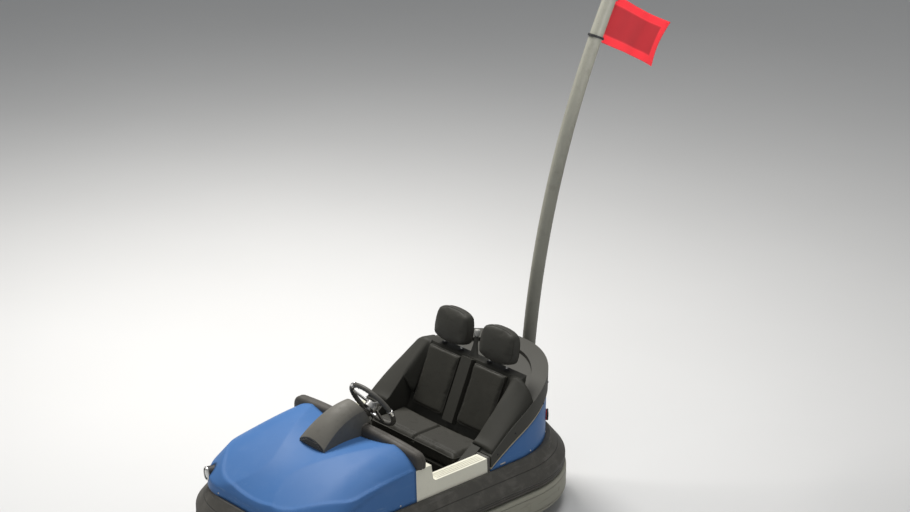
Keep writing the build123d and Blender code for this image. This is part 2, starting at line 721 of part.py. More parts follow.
def seat_tub():
    def within(inset):
        """The room inside the coaming, and everything below it."""
        return body_volume(-COAMING_WIDTH - SEAT - inset) + slab(-FAR, 0, 0, BODY_BASE)

    outline = upright(seat_outline())
    tub = (across(outline, SEAT_HALF_WIDTH) - across(seat_space(0), SEAT_SPACE)) & within(0)
    inset = offset(outline, -TUB_WALL)
    cavity = across(inset.faces()[0], SEAT_HALF_WIDTH - TUB_WALL) - across(seat_space(TUB_WALL), SEAT_SPACE + TUB_WALL)
    cavity = cavity & within(TUB_WALL)
    floor = RAIL_BOTTOM + RAIL + SEAT
    mouth = box(SEAT_BOX_REAR + TUB_WALL, SEAT_FRONT - TUB_WALL, TUB_WALL - SEAT_HALF_WIDTH, SEAT_HALF_WIDTH - TUB_WALL, floor - 1, floor + TUB_WALL + 1)
    tub = tub - cavity - mouth
    # A raised divider stands between the two backs.
    lean = math.atan2(SEAT_BACK_FOOT - SEAT_BACK_TOP[0], SEAT_BACK_TOP[1] - SEAT_BASE)
    lift = CUSHION_TOP - SEAT_BASE + 6
    height = (SEAT_BACK_TOP[1] - SEAT_BASE) / math.cos(lean) - lift - 4
    plane = back_plane()
    divider = plane * (Pos(DIVIDER_DEPTH / 2 - 2, 0, lift + height / 2) * Box(DIVIDER_DEPTH + 4, 2 * DIVIDER_HALF, height))
    return tub + divider


def back_plane():
    """Origin at the foot of the seat's back, local X out of the back and local Z up it."""
    lean = math.degrees(math.atan2(SEAT_BACK_FOOT - SEAT_BACK_TOP[0], SEAT_BACK_TOP[1] - SEAT_BASE))
    return Pos(SEAT_BACK_FOOT, 0, SEAT_BASE) * Rot(0, -lean, 0)


def seat_cushion():
    x0, x1 = SEAT_BACK_FOOT + CUSHION_CLEAR, SEAT_FRONT
    block = box(x0, x1, CUSHION_CLEAR - SEAT_SPACE, SEAT_SPACE - CUSHION_CLEAR, SEAT_BASE + SEAT, CUSHION_TOP)
    return fillet(block.edges().group_by(Axis.Z)[-1], CUSHION_ROUND)


def back_pad():
    pad = Pos(BACK_PAD_DEPTH / 2 + SEAT, 0, CUSHION_TOP - SEAT_BASE + 12 + BACK_PAD_LENGTH / 2) * Box(
        BACK_PAD_DEPTH, BACK_PAD_WIDTH, BACK_PAD_LENGTH
    )
    pad = fillet(pad.edges().group_by(Axis.X)[-1], BACK_PAD_DEPTH / 3)
    return back_plane() * pad


def headrest_origin():
    return Pos(SEAT_BACK_TOP[0] - SEAT_CROWN / 2, 0, SEAT_BACK_TOP[1]) * Rot(0, -HEADREST_TILT, 0)


def headrest():
    block = Pos(0, 0, HEADREST_LIFT + HEADREST_HEIGHT / 2) * Box(HEADREST_DEPTH, HEADREST_WIDTH, HEADREST_HEIGHT)
    return headrest_origin() * fillet(block.edges(), HEADREST_ROUND)


def headrest_posts():
    posts = []
    dip = POST_RADIUS * math.sin(math.radians(HEADREST_TILT)) + SEAT
    for place in (-1, 1):
        for side in (-1, 1):
            post = Pos(0, place * SEAT_PITCH / 2 + side * POST_PITCH / 2, 0) * Cylinder(
                POST_RADIUS, HEADREST_LIFT - dip - SEAT, align=(Align.CENTER, Align.CENTER, Align.MIN)
            )
            posts.append(headrest_origin() * (Pos(0, 0, dip) * post))
    return posts


# ---------------------------------------------------------------- steering wheel
def steering_plane():
    """Local Z points up the column to the driver, with the origin in the wheel's middle."""
    return Pos(WHEEL_X, 0, WHEEL_Z) * Rot(0, COLUMN_ANGLE - 90, 0)


def steering_grip():
    return steering_plane() * Torus(GRIP_RING, GRIP)


def steering_spokes():
    hub = Pos(0, 0, -HUB_HEIGHT) * Cylinder(HUB_RADIUS, HUB_HEIGHT, align=(Align.CENTER, Align.CENTER, Align.MIN))
    ring = Torus(GRIP_RING, GRIP)
    body = hub
    for index in range(SPOKES):
        reach = GRIP_RING - 2
        spoke = Pos(reach / 2, 0, -SPOKE_SHEET / 2) * Box(reach, SPOKE_WIDTH, SPOKE_SHEET)
        body = body + Rot(0, 0, 360 / SPOKES * index + 180) * spoke
    return steering_plane() * (body - ring)


def steering_shaft():
    end = (TRAY_FRONT + 50 - WHEEL_X) / math.cos(math.radians(COLUMN_ANGLE))
    return column_rod(HUB_HEIGHT, end, SHAFT_RADIUS)


def column_tube():
    end = (TRAY_FRONT + 30 - WHEEL_X) / math.cos(math.radians(COLUMN_ANGLE))
    start = HUB_HEIGHT + 12
    tube = column_rod(start, end, COLUMN_RADIUS) - column_rod(0, end + 100, SHAFT_RADIUS + RUNNING_FIT)
    return tube


# ---------------------------------------------------------------- pedal and lamps
def pedal():
    low = RAIL_BOTTOM + RAIL + SEAT + FLOOR_SHEET + SEAT
    plate = Box(PEDAL_LENGTH, PEDAL_WIDTH, PEDAL_SHEET, align=(Align.MIN, Align.CENTER, Align.MIN))
    plate = fillet(plate.edges().filter_by(Axis.Z), 12)
    plate = Pos(PEDAL_X, PEDAL_Y, low + 10) * (Rot(0, -PEDAL_ANGLE, 0) * plate)
    foot = box(PEDAL_X - 18, PEDAL_X + 26, PEDAL_Y - 20, PEDAL_Y + 20, low, low + 16)
    return plate + foot


def lamp_axis(radius, start, end):
    """A rod through the bonnet's front corner, start and end counted outwards from its skin."""
    front, rear, half, fore, aft = grown(BODY, -BONNET_LEAN * (LAMP_HEIGHT - BODY_BASE))
    angle = math.radians(LAMP_ANGLE)
    skin = (front - fore + fore * math.cos(angle), half - fore + fore * math.sin(angle))
    face = (math.cos(math.radians(LAMP_ANGLE - 24)), math.sin(math.radians(LAMP_ANGLE - 24)))
    a = (skin[0] + face[0] * start, skin[1] + face[1] * start, LAMP_HEIGHT)
    b = (skin[0] + face[0] * end, skin[1] + face[1] * end, LAMP_HEIGHT)
    return rod(a, b, radius)


def headlamp_bezel():
    ring = lamp_axis(LAMP_RADIUS - SEAT, LAMP_PROUD - LAMP_LENGTH, LAMP_PROUD)
    return ring - lamp_axis(LENS_RADIUS + SEAT, LAMP_PROUD - 18, LAMP_PROUD + 10)


def headlamp_lens():
    return lamp_axis(LENS_RADIUS, LAMP_PROUD - 18 + SEAT, LAMP_PROUD - 3)


def tail_axes(radius, start, end):
    """Rods through the stern's corners, start and end counted outwards from its skin."""
    front, rear, half, fore, aft = BODY
    angle = math.radians(TAIL_ANGLE)
    away = (-math.sin(angle), math.cos(angle))
    a, b = [
        (aft - rear + away[0] * (aft + out), half - aft + away[1] * (aft + out), TAIL_HEIGHT) for out in (start, end)
    ]
    return both_sides(rod(a, b, radius))


def tail_lamps():
    return tail_axes(TAIL_RADIUS - SEAT, TAIL_PROUD - TAIL_LENGTH, TAIL_PROUD)


# ---------------------------------------------------------------- drive unit
def drive_fork():
    top = PLATE_BOTTOM + PLATE_SHEET + SEAT
    crown = Pos(SWIVEL_X, 0, top) * Cylinder(CROWN_RADIUS, CROWN_SHEET, align=(Align.CENTER, Align.CENTER, Align.MIN))
    head = DRIVE_RADIUS * 2 + WHEEL_CLEAR + 6
    pin = Pos(SWIVEL_X, 0, head) * Cylinder(KINGPIN, top - head, align=(Align.CENTER, Align.CENTER, Align.MIN))
    inner = DRIVE_WIDTH / 2 + FORK_GAP
    bridge = box(SWIVEL_X - KINGPIN, SWIVEL_X + KINGPIN, -inner - FORK_SHEET, inner + FORK_SHEET, head - 1, head + 9)
    fork = crown + pin + bridge
    for side in (-1, 1):
        low, high = sorted((side * inner, side * (inner + FORK_SHEET)))
        leg = box(SWIVEL_X - FORK_WIDTH / 2, SWIVEL_X + FORK_WIDTH / 2, low, high, DRIVE_RADIUS, head)
        eye = rod((SWIVEL_X, low, DRIVE_RADIUS), (SWIVEL_X, high, DRIVE_RADIUS), FORK_WIDTH / 2)
        fork = fork + leg + eye
    return fork - rod((SWIVEL_X, -100, DRIVE_RADIUS), (SWIVEL_X, 100, DRIVE_RADIUS), DRIVE_BORE)


def drive_axle():
    reach = DRIVE_WIDTH / 2 + FORK_GAP + FORK_SHEET
    axle = rod((SWIVEL_X, -reach - 8, DRIVE_RADIUS), (SWIVEL_X, reach + 8, DRIVE_RADIUS), DRIVE_BORE)
    for side in (-1, 1):
        low, high = sorted((side * (reach + SEAT), side * (reach + 10)))
        axle = axle + rod((SWIVEL_X, low, DRIVE_RADIUS), (SWIVEL_X, high, DRIVE_RADIUS), DRIVE_NUT)
    return axle


def drive_motor():
    low = PLATE_BOTTOM + PLATE_SHEET + SEAT + CROWN_SHEET
    return Pos(SWIVEL_X, 0, low) * Cylinder(MOTOR_RADIUS, MOTOR_HEIGHT, align=(Align.CENTER, Align.CENTER, Align.MIN))


def wheel(x, y, radius, width, rim_radius, bore, hub_width):
    """Rim and tyre of a wheel that turns about Y."""
    half = width / 2
    rim = upright(
        [
            (bore + RUNNING_FIT, -hub_width / 2),
            (HUB, -hub_width / 2),
            (HUB, -WEB / 2),
            (rim_radius - RIM_WALL, -WEB / 2),
            (rim_radius - RIM_WALL, -half + 4),
            (rim_radius, -half + 4),
            (rim_radius, half - 4),
            (rim_radius - RIM_WALL, half - 4),
            (rim_radius - RIM_WALL, WEB / 2),
            (HUB, WEB / 2),
            (HUB, hub_width / 2),
            (bore + RUNNING_FIT, hub_width / 2),
        ]
    )
    tyre = upright([(rim_radius, -half), (radius, -half), (radius, half), (rim_radius, half)])
    tyre = fillet(tyre.vertices().sort_by(Axis.X)[-2:], 8)
    turned = []
    for face in (rim, tyre):
        solid = revolve(face, axis=Axis.Z, revolution_arc=360)
        turned.append(Pos(x, y, radius) * Rot(90, 0, 0) * solid)
    return turned


def rear_axle():
    tube_end = REAR_TRACK_HALF - REAR_WIDTH / 2 - WHEEL_CLEAR
    reach = REAR_TRACK_HALF + REAR_WIDTH / 2 + WHEEL_CLEAR / 2
    end = reach + STUB_COLLAR
    z = REAR_RADIUS
    axle = rod((AXLE_X, -tube_end, z), (AXLE_X, tube_end, z), AXLE_TUBE)
    axle = axle + rod((AXLE_X, -end, z), (AXLE_X, end, z), STUB)
    for side in (-1, 1):
        low, high = sorted((side * reach, side * end))
        axle = axle + rod((AXLE_X, low, z), (AXLE_X, high, z), STUB + STUB_COLLAR_WALL)
        y = side * RAIL_Y
        axle = axle + box(AXLE_X - AXLE_BLOCK / 2, AXLE_X + AXLE_BLOCK / 2, y - RAIL / 2, y + RAIL / 2, z, RAIL_BOTTOM - SEAT)
    return axle


# ---------------------------------------------------------------- mast
def mast_point(along, angle=MAST_LEAN):
    """Point on the straight lower part, counted up from the deck."""
    a = math.radians(angle)
    return (MAST_X - along * math.sin(a), 0, MAST_Z + along * math.cos(a))


def mast_path():
    radius = MAST_ARC / math.radians(MAST_BEND)
    a0 = math.radians(MAST_LEAN)
    centre = (MAST_X - radius * math.cos(a0), MAST_Z - radius * math.sin(a0))

    def at(turned):
        a = a0 + math.radians(turned)
        return (centre[0] + radius * math.cos(a), 0, centre[1] + radius * math.sin(a))

    low = Line(mast_point(-MAST_BELOW), mast_point(0))
    arc = ThreePointArc(at(0), at(MAST_BEND / 2), at(MAST_BEND))
    return Wire(low.edges() + arc.edges()), at


def mast_tube():
    path, _ = mast_path()
    start = mast_point(-MAST_BELOW)
    plane = Plane(origin=start, z_dir=Vector(*mast_point(0)) - Vector(*start))
    ring = plane * (Circle(MAST_RADIUS) - Circle(MAST_RADIUS - MAST_WALL))
    return sweep(ring.faces()[0], path=path)


def mast_frame(down):
    """Local Z runs up the mast, with the origin on its axis, counted down the bend from its upper end."""
    _, at = mast_path()
    turned = MAST_BEND * (1 - down / MAST_ARC)
    return Pos(*at(turned)) * Rot(0, -(MAST_LEAN + turned), 0)


def mast_top():
    return mast_frame(0)


def mast_head():
    cap = Cylinder(MAST_RADIUS, 14, align=(Align.CENTER, Align.CENTER, Align.MIN))
    cap = Pos(0, 0, SEAT) * cap
    for side in (-1, 1):
        y = side * (YOKE_GAP / 2 + YOKE_SHEET / 2)
        cap = cap + Pos(0, y, SEAT + 10 + YOKE_HEIGHT / 2) * Box(34, YOKE_SHEET, YOKE_HEIGHT)
    pivot = Pos(0, 0, SEAT + YOKE_HEIGHT - 8)
    pin = pivot * (Rot(90, 0, 0) * Cylinder(PIN_RADIUS, YOKE_GAP + 2 * YOKE_SHEET + 8))
    return mast_top() * (cap + pin)


def pivot_point():
    spot = mast_top() * Pos(0, 0, SEAT + YOKE_HEIGHT - 8)
    return spot.position


def contact_shoe():
    centre = pivot_point()
    lug_width = YOKE_GAP - 2 * WHEEL_CLEAR
    lug = rod((0, -lug_width / 2, 0), (0, lug_width / 2, 0), PIN_RADIUS + 8)
    stem = box(-10, 10, -lug_width / 2, lug_width / 2, 0, 56)
    plate = box(-SHOE_LENGTH / 2, SHOE_LENGTH / 2, -SHOE_WIDTH / 2, SHOE_WIDTH / 2, 50, 50 + SHOE_SHEET)
    plate = fillet(plate.edges().filter_by(Axis.Y).group_by(Axis.Z)[-1], SHOE_SHEET / 2)
    body = lug + stem + plate - rod((0, -50, 0), (0, 50, 0), PIN_RADIUS + RUNNING_FIT)
    return Pos(centre.X, centre.Y, centre.Z) * body


def mast_post():
    """Upright inside the stern that backs the mast's bracket."""
    rear = BODY[1] - SHELL - SEAT
    x0, x1 = -rear, MAST_POST - rear
    half = MAST_POST / 2
    return box(x0, x1, -half, half, BODY_BASE, BRACKET_TOP) - box(
        x0 + RAIL_WALL, x1 - RAIL_WALL, RAIL_WALL - half, half - RAIL_WALL, BODY_BASE - 1, BRACKET_TOP + 1
    )


def mast_bracket():
    """Plate on the stern with two collars round the mast and a step under its foot."""
    x0 = -BODY[1]
    bracket = box(x0 - BRACKET_SHEET - STERN_LEAN * (BRACKET_TOP - BODY_BASE), x0 + BRACKET_SHEET, -BRACKET_WIDTH / 2, BRACKET_WIDTH / 2, BRACKET_BOTTOM, BRACKET_TOP)
    foot = -MAST_BELOW + COLLAR_HEIGHT / 2
    outer = MAST_RADIUS + COLLAR_WALL
    for middle in (foot, foot + COLLAR_SPACING):
        collar = rod(mast_point(middle - COLLAR_HEIGHT / 2), mast_point(middle + COLLAR_HEIGHT / 2), outer)
        x, _, z = mast_point(middle)
        web = box(x, x0, -outer, outer, z - COLLAR_HEIGHT / 2, z + COLLAR_HEIGHT / 2)
        bracket = bracket + collar + web
    step = rod(mast_point(-MAST_BELOW - COLLAR_WALL), mast_point(-MAST_BELOW + SEAT), outer)
    bore = rod(mast_point(-MAST_BELOW - SEAT), mast_point(0), MAST_RADIUS + SEAT)
    return bracket + step - bore - body_volume(SEAT)


def flag():
    radius = MAST_ARC / math.radians(MAST_BEND)
    bow = FLAG_HOIST**2 / (8 * radius)  # the mast's bend along the hoist
    away = MAST_RADIUS + FLAG_RING + bow + SEAT
    sheet = Pos(-away - FLAG_FLY / 2, 0, 0) * Box(FLAG_FLY, FLAG_THICKNESS, FLAG_HOIST)
    return mast_frame(FLAG_DOWN + FLAG_HOIST / 2) * sheet


def flag_rings():
    rings = []
    for down in (FLAG_DOWN + 16, FLAG_DOWN + FLAG_HOIST - 16):
        ring = Cylinder(MAST_RADIUS + FLAG_RING, 12) - Cylinder(MAST_RADIUS + SEAT, 20)
        rings.append(mast_frame(down) * ring)
    return rings


# ---------------------------------------------------------------- everything together
def build():
    side_outer = body_volume(0)
    bonnet_outer = bonnet_volume(0)
    bonnet_inner = bonnet_volume(SHELL)
    parts = {}
    parts["chassis_frame"] = chassis_frame()
    parts["bumper_carrier"] = bumper_carrier()
    parts["bumper_band"] = bumper_band()
    parts["bumper_roll"] = bumper_roll()
    parts["floor_tray"] = floor_tray() + bulkhead(bonnet_inner)
    parts["turntable_plate"] = turntable_plate()
    parts["bonnet"] = bonnet(bonnet_outer, bonnet_inner)
    pad = dash_pad()
    parts["dash_pad"] = pad
    parts["dash_panel"] = dash_panel(side_outer)
    parts["scoop"] = scoop(roof_volume(0), pad)
    parts["sills"] = sills(side_outer, body_volume(-SILL_DEPTH))
    parts["rear_body"] = rear_body()
    parts["rim_trim"] = rim_trim()
    parts["coaming"] = coaming()
    parts["rear_deck"] = deck()
    parts["seat_tub"] = seat_tub()
    parts["seat_cushion"] = seat_cushion()
    places = [Pos(0, side * SEAT_PITCH / 2, 0) for side in (1, -1)]
    parts["back_pads"] = [place * back_pad() for place in places]
    parts["headrests"] = [place * headrest() for place in places]
    parts["headrest_posts"] = headrest_posts()
    parts["pedal"] = pedal()
    parts["column_tube"] = column_tube()
    parts["headlamp_bezels"] = both_sides(headlamp_bezel())
    parts["headlamp_lenses"] = both_sides(headlamp_lens())
    parts["tail_lamps"] = tail_lamps()
    parts["rear_axle"] = rear_axle()
    parts["drive_fork"] = drive_fork()
    parts["drive_axle"] = drive_axle()
    parts["drive_motor"] = drive_motor()
    rim, tyre = wheel(SWIVEL_X, 0, DRIVE_RADIUS, DRIVE_WIDTH, DRIVE_RIM, DRIVE_BORE, DRIVE_WIDTH + FORK_GAP)
    parts["drive_rim"], parts["drive_tyre"] = rim, tyre
    for side, name in ((1, "left"), (-1, "right")):
        rim, tyre = wheel(AXLE_X, side * REAR_TRACK_HALF, REAR_RADIUS, REAR_WIDTH, REAR_RIM, STUB, REAR_WIDTH)
        parts["rear_rim_" + name], parts["rear_tyre_" + name] = rim, tyre
    parts["steering_grip"] = steering_grip()
    parts["steering_spokes"] = steering_spokes()
    parts["steering_shaft"] = steering_shaft()
    parts["mast_post"] = mast_post()
    parts["mast_bracket"] = mast_bracket()
    parts["mast_tube"] = mast_tube()
    parts["mast_head"] = mast_head()
    parts["contact_shoe"] = contact_shoe()
    parts["flag"] = flag()
    parts["flag_rings"] = flag_rings()
    return parts


def as_shape(value):
    solids = []
    for item in value if isinstance(value, list) else [value]:
        solids.extend(item.solids())
    return solids[0] if len(solids) == 1 else Compound(solids)


parts = {name: as_shape(value) for name, value in build().items()}
boxes = [shape.bounding_box() for shape in parts.values()]
low_x = min(b.min.X for b in boxes)
high_x = max(b.max.X for b in boxes)
SHIFT = -(low_x + high_x) / 2

os.makedirs("parts", exist_ok=True)
for name, shape in parts.items():
    moved = Pos(SHIFT, 0, 0) * shape
    moved.label = name
    export_step(moved, "parts/" + name + ".step")
print("moved by", round(SHIFT, 3))
for name, shape in parts.items():
    b = shape.bounding_box()
    print(
        name.ljust(18),
        len(shape.solids()),
        "valid" if shape.is_valid else "INVALID",
        round(shape.volume / 1e6, 3),
        [round(v, 1) for v in (b.min.X, b.max.X, b.min.Y, b.max.Y, b.min.Z, b.max.Z)],
    )
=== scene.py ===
import json
import math
from contextlib import contextmanager

import bmesh
import bpy
from mathutils import Matrix, Vector
from mathutils.bvhtree import BVHTree


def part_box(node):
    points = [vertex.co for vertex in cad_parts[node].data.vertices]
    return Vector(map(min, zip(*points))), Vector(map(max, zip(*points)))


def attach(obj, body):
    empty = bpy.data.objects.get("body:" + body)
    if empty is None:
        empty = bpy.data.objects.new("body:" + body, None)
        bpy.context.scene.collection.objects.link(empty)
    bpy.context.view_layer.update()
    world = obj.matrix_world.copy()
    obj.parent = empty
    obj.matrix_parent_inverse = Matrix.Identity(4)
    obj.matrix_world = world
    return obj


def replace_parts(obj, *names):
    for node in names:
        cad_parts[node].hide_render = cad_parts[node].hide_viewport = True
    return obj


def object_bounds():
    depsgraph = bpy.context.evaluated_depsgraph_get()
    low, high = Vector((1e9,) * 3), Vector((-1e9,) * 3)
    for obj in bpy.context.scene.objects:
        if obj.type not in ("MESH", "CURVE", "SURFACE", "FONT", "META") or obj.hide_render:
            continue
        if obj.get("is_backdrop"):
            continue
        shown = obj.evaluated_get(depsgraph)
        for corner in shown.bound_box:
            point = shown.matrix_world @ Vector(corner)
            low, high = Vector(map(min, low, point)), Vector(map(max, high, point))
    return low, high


# Looks of a two-seat fairground bumper car. Lengths in this file are metres.
# Places are given from the car's own origin, under the middle of the bumper; at() moves them into the frame.

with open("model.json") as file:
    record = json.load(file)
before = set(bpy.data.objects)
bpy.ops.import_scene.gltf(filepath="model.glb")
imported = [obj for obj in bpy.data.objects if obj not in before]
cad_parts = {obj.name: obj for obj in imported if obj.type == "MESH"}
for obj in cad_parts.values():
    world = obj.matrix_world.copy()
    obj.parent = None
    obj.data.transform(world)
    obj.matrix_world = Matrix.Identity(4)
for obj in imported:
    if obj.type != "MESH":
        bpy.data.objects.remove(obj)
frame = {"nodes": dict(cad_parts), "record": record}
cad_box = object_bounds()
nodes = frame["nodes"]


def corners_of(node):
    """The lowest and highest corners of a node."""
    low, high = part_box(node)
    return Vector(low), Vector(high)


def middle(node):
    low, high = corners_of(node)
    return (low + high) / 2


AXLE_BEHIND_ORIGIN = 0.600
ORIGIN_X = middle("rear_tyre_left").x + AXLE_BEHIND_ORIGIN


def at(x, y, z):
    return Vector((x + ORIGIN_X, y, z))


# ---------------------------------------------------------------- finishes
class Val:
    """A value on a socket: sums, differences and products of it add Math nodes."""

    def __init__(self, finish, socket):
        self.finish, self.socket = finish, socket

    def math(self, operation, other=0.0, swapped=False):
        pair = (other, self) if swapped else (self, other)
        return self.finish.node("ShaderNodeMath", {"operation": operation}, {0: pair[0], 1: pair[1]})

    def __add__(self, other):
        return self.math("ADD", other)

    __radd__ = __add__

    def __sub__(self, other):
        return self.math("SUBTRACT", other)

    def __rsub__(self, other):
        return self.math("SUBTRACT", other, True)

    def __mul__(self, other):
        return self.math("MULTIPLY", other)

    __rmul__ = __mul__

    def __abs__(self):
        return self.math("ABSOLUTE")

    def sine(self):
        return self.math("SINE")


class Finish:
    """One finish: a shader, and the nodes that vary it over a surface."""

    def __init__(self, name, **constants):
        self.material = bpy.data.materials.new(name)
        self.material.use_nodes = True
        self.tree = self.material.node_tree
        self.shader = self.tree.nodes["Principled BSDF"]
        self.spot = None
        for socket, value in constants.items():
            self.shader.inputs[socket.replace("_", " ")].default_value = value

    def put(self, socket, value):
        if isinstance(value, Val):
            self.tree.links.new(value.socket, socket)
        elif isinstance(value, tuple) and socket.type == "RGBA":
            socket.default_value = value + (1.0,)
        else:
            socket.default_value = value

    def node(self, kind, settings=None, inputs=None, output=0):
        made = self.tree.nodes.new(kind)
        for key, value in (settings or {}).items():
            setattr(made, key, value)
        for key, value in (inputs or {}).items():
            self.put(made.inputs[key], value)
        return Val(self, made.outputs[output])

    def feed(self, **sockets):
        for socket, value in sockets.items():
            self.put(self.shader.inputs[socket.replace("_", " ")], value)
        return self

    def place(self, stretch=(1, 1, 1)):
        """Place on the piece in metres, stretched along each axis."""
        if self.spot is None:
            self.spot = self.node("ShaderNodeTexCoord", output=3)
        if stretch == (1, 1, 1):
            return self.spot
        return self.node("ShaderNodeVectorMath", {"operation": "MULTIPLY"}, {0: self.spot, 1: stretch})

    def axis(self, letter):
        return self.node("ShaderNodeSeparateXYZ", None, {0: self.place()}, "XYZ".index(letter))

    def cloud(self, scale, detail=4.0, rough=0.55, stretch=(1, 1, 1)):
        inputs = {"Vector": self.place(stretch), "Scale": scale, "Detail": detail, "Roughness": rough}
        return self.node("ShaderNodeTexNoise", None, inputs)

    def cells(self, scale, feature="DISTANCE_TO_EDGE", stretch=(1, 1, 1)):
        inputs = {"Vector": self.place(stretch), "Scale": scale}
        return self.node("ShaderNodeTexVoronoi", {"feature": feature}, inputs)

    def step(self, value, low, high):
        """0 below low, 1 above high and a smooth rise between them."""
        settings = {"interpolation_type": "SMOOTHSTEP", "clamp": True}
        return self.node("ShaderNodeMapRange", settings, {0: value, 1: low, 2: high, 3: 0.0, 4: 1.0})

    def mix(self, share, first, second):
        return self.node("ShaderNodeMix", {"data_type": "RGBA"}, {0: share, 6: first, 7: second}, 2)

    def coats(self, colour, *layers):
        """A colour under (share, colour) layers, one over the other."""
        for share, over in layers:
            colour = self.mix(share, colour, over)
        return colour

    def relief(self, *layers, soft_edge=0.0):
        """Bump from (height, depth in metres) layers, one over the other, over edges softened by a radius."""
        normal = self.node("ShaderNodeBevel", {"samples": 8}, {"Radius": soft_edge}) if soft_edge else None
        for height, depth in layers:
            inputs = {"Strength": 1.0, "Distance": depth, "Height": height}
            if normal:
                inputs["Normal"] = normal
            normal = self.node("ShaderNodeBump", None, inputs)
        return self.feed(Normal=normal)

    def line(self, value, where, width):
        """1 along a line where the value is close to where, falling to 0 at the width."""
        return 1.0 - self.step(abs(value - where), width * 0.35, width)


# Colours of dust, of painted shade and of dirt.
DUST, SHADE_BLACK, DIRT = (0.30, 0.28, 0.25), (0.02, 0.02, 0.02), (0.10, 0.09, 0.08)


def toned(colour, share):
    return tuple(share * c for c in colour)


def shell_paint(name, deep, pale, scuff):
    """Glossy moulded body colour with a film of dust and rubs along its foot."""
    f = Finish(name, Coat_Weight=0.02, Coat_Roughness=0.34, IOR=1.42, Specular_IOR_Level=0.10)
    film = f.step(f.cloud(9.0, 6.0, 0.62), 0.46, 0.78)
    low = 1.0 - f.step(f.axis("Z"), 0.385, 0.47)
    rubs = f.step(f.cloud(26.0, 7.0, 0.68, (0.35, 0.35, 3.2)), 0.57, 0.66) * low
    hairs = f.step(f.cloud(70.0, 2.0, 0.4, (0.08, 1.0, 1.0)), 0.67, 0.72) * 0.35
    colour = f.mix(f.cloud(2.2, 3.0), deep, pale)
    colour = f.coats(colour, (film * 0.06, (0.30, 0.38, 0.52)), (rubs * 0.55 + hairs * 0.18, scuff))
    f.feed(Base_Color=colour, Roughness=0.42 + film * 0.12 + rubs * 0.18 + hairs * 0.08)
    return f.relief((f.cloud(520.0, 2.0), 0.00004), (rubs, 0.00015), soft_edge=0.030).material


def rubber(name, deep, worn, marks, lines=(), mark_share=0.5, rough=0.62):
    """Bumper rubber: fine pebble, mould lines at the given heights with painted shade in their grooves, dust
    and sideways rub marks.
    """
    f = Finish(name, IOR=1.5, Specular_IOR_Level=0.25)
    dust = f.step(f.cloud(14.0, 7.0, 0.66), 0.44, 0.72)
    height = f.axis("Z")
    rubs = f.step(f.cloud(11.0, 6.0, 0.62, (0.5, 0.5, 5.0)), 0.55, 0.66)
    nicks = f.step(f.cells(46.0, "F1", (0.6, 0.6, 1.6)), 0.0, 0.16)
    dusty = tuple(0.5 * (a + b) for a, b in zip(worn, DUST))
    colour = f.mix(f.cloud(4.0, 5.0, 0.6), deep, worn)
    colour = f.coats(colour, (dust * 0.30, dusty), (rubs * mark_share, marks))
    layers = [(f.cells(420.0), 0.00020), (nicks, 0.00035), (rubs, 0.0002)]
    cuts = [f.line(height, where, 0.0028) for where in lines]
    if cuts:
        groove = sum(cuts[1:], cuts[0])
        # Painted shade: the grooves of the mould lines are painted darker.
        colour = f.mix(groove * 0.6, colour, toned(deep, 0.45))
        layers.append((1.0 - groove, 0.0022))
    f.feed(Base_Color=colour, Roughness=rough + dust * 0.16 - rubs * 0.12)
    return f.relief(*layers).material


def moulding(name, deep, pale, grain, rough, size, wear=(0.5, 0.48, 0.44), share=0.16, coat=0.0):
    """Moulded plastic, a little faded and rubbed: grain is how deep its cells are, size how many a metre."""
    f = Finish(name, IOR=1.48, Coat_Weight=coat, Coat_Roughness=0.2, Specular_IOR_Level=0.25)
    drift = f.cloud(3.0, 4.0)
    rubbed = f.step(f.cloud(21.0, 7.0, 0.66), 0.54, 0.74)
    specks = f.step(f.cloud(160.0, 3.0, 0.5), 0.60, 0.70)
    colour = f.coats(f.mix(drift, deep, pale), (rubbed * share + specks * 0.06, wear))
    f.feed(Base_Color=colour, Roughness=rough + rubbed * 0.14 + drift * 0.06)
    return f.relief((f.cells(size), grain), (f.cloud(8.0, 3.0), 0.0006)).material


def tub_moulding(name, deep, pale):
    """Seat tub: dark grained moulding, its raised middle divider painted a little paler as a highlight, and
    its foot painted darker as shade under the cushion.
    """
    f = Finish(name, IOR=1.48, Specular_IOR_Level=0.2)
    # Painted highlight: the raised middle divider is painted paler, as its crest catches the light.
    divider = 1.0 - f.step(abs(f.axis("Y")), 0.030, 0.048)
    rubbed = f.step(f.cloud(17.0, 7.0, 0.66), 0.50, 0.74)
    # Painted shade: the tub is darker towards its foot, under the seat cushion.
    low = 1.0 - f.step(f.axis("Z"), 0.30, 0.36)
    colour = f.mix(f.cloud(3.4, 4.0), deep, toned(deep, 1.2))
    colour = f.coats(colour, (divider * 0.6, pale), (rubbed * 0.18, toned(pale, 1.4)), (low * 0.6, SHADE_BLACK))
    f.feed(Base_Color=colour, Roughness=0.56 + rubbed * 0.12)
    return f.relief((f.cells(260.0), 0.00025)).material


def vinyl(name, deep, pale, grain, rough):
    """Upholstery vinyl: leather grain, soft creases painted darker as shade, and a shine where riders rub it.
    """
    f = Finish(name, IOR=1.5, Sheen_Weight=0.02, Specular_IOR_Level=0.22)
    polish = f.step(f.cloud(7.0, 5.0, 0.6), 0.46, 0.66)
    crease = f.step(f.cloud(30.0, 6.0, 0.7, (1.0, 0.5, 1.6)), 0.56, 0.64)
    colour = f.mix(f.cloud(5.0, 4.0) * 0.9, deep, pale)
    # The creases are painted darker, as shade in them.
    colour = f.coats(colour, (polish * 0.25, toned(pale, 1.35)), (crease * 0.18, toned(deep, 0.6)))
    f.feed(Base_Color=colour, Roughness=rough + crease * 0.12 - polish * 0.08)
    folds = (f.cloud(24.0, 5.0, 0.65), 0.0010)
    pebble = (f.cells(330.0), grain)
    return f.relief(folds, pebble, (f.cloud(900.0, 2.0), 0.00008)).material


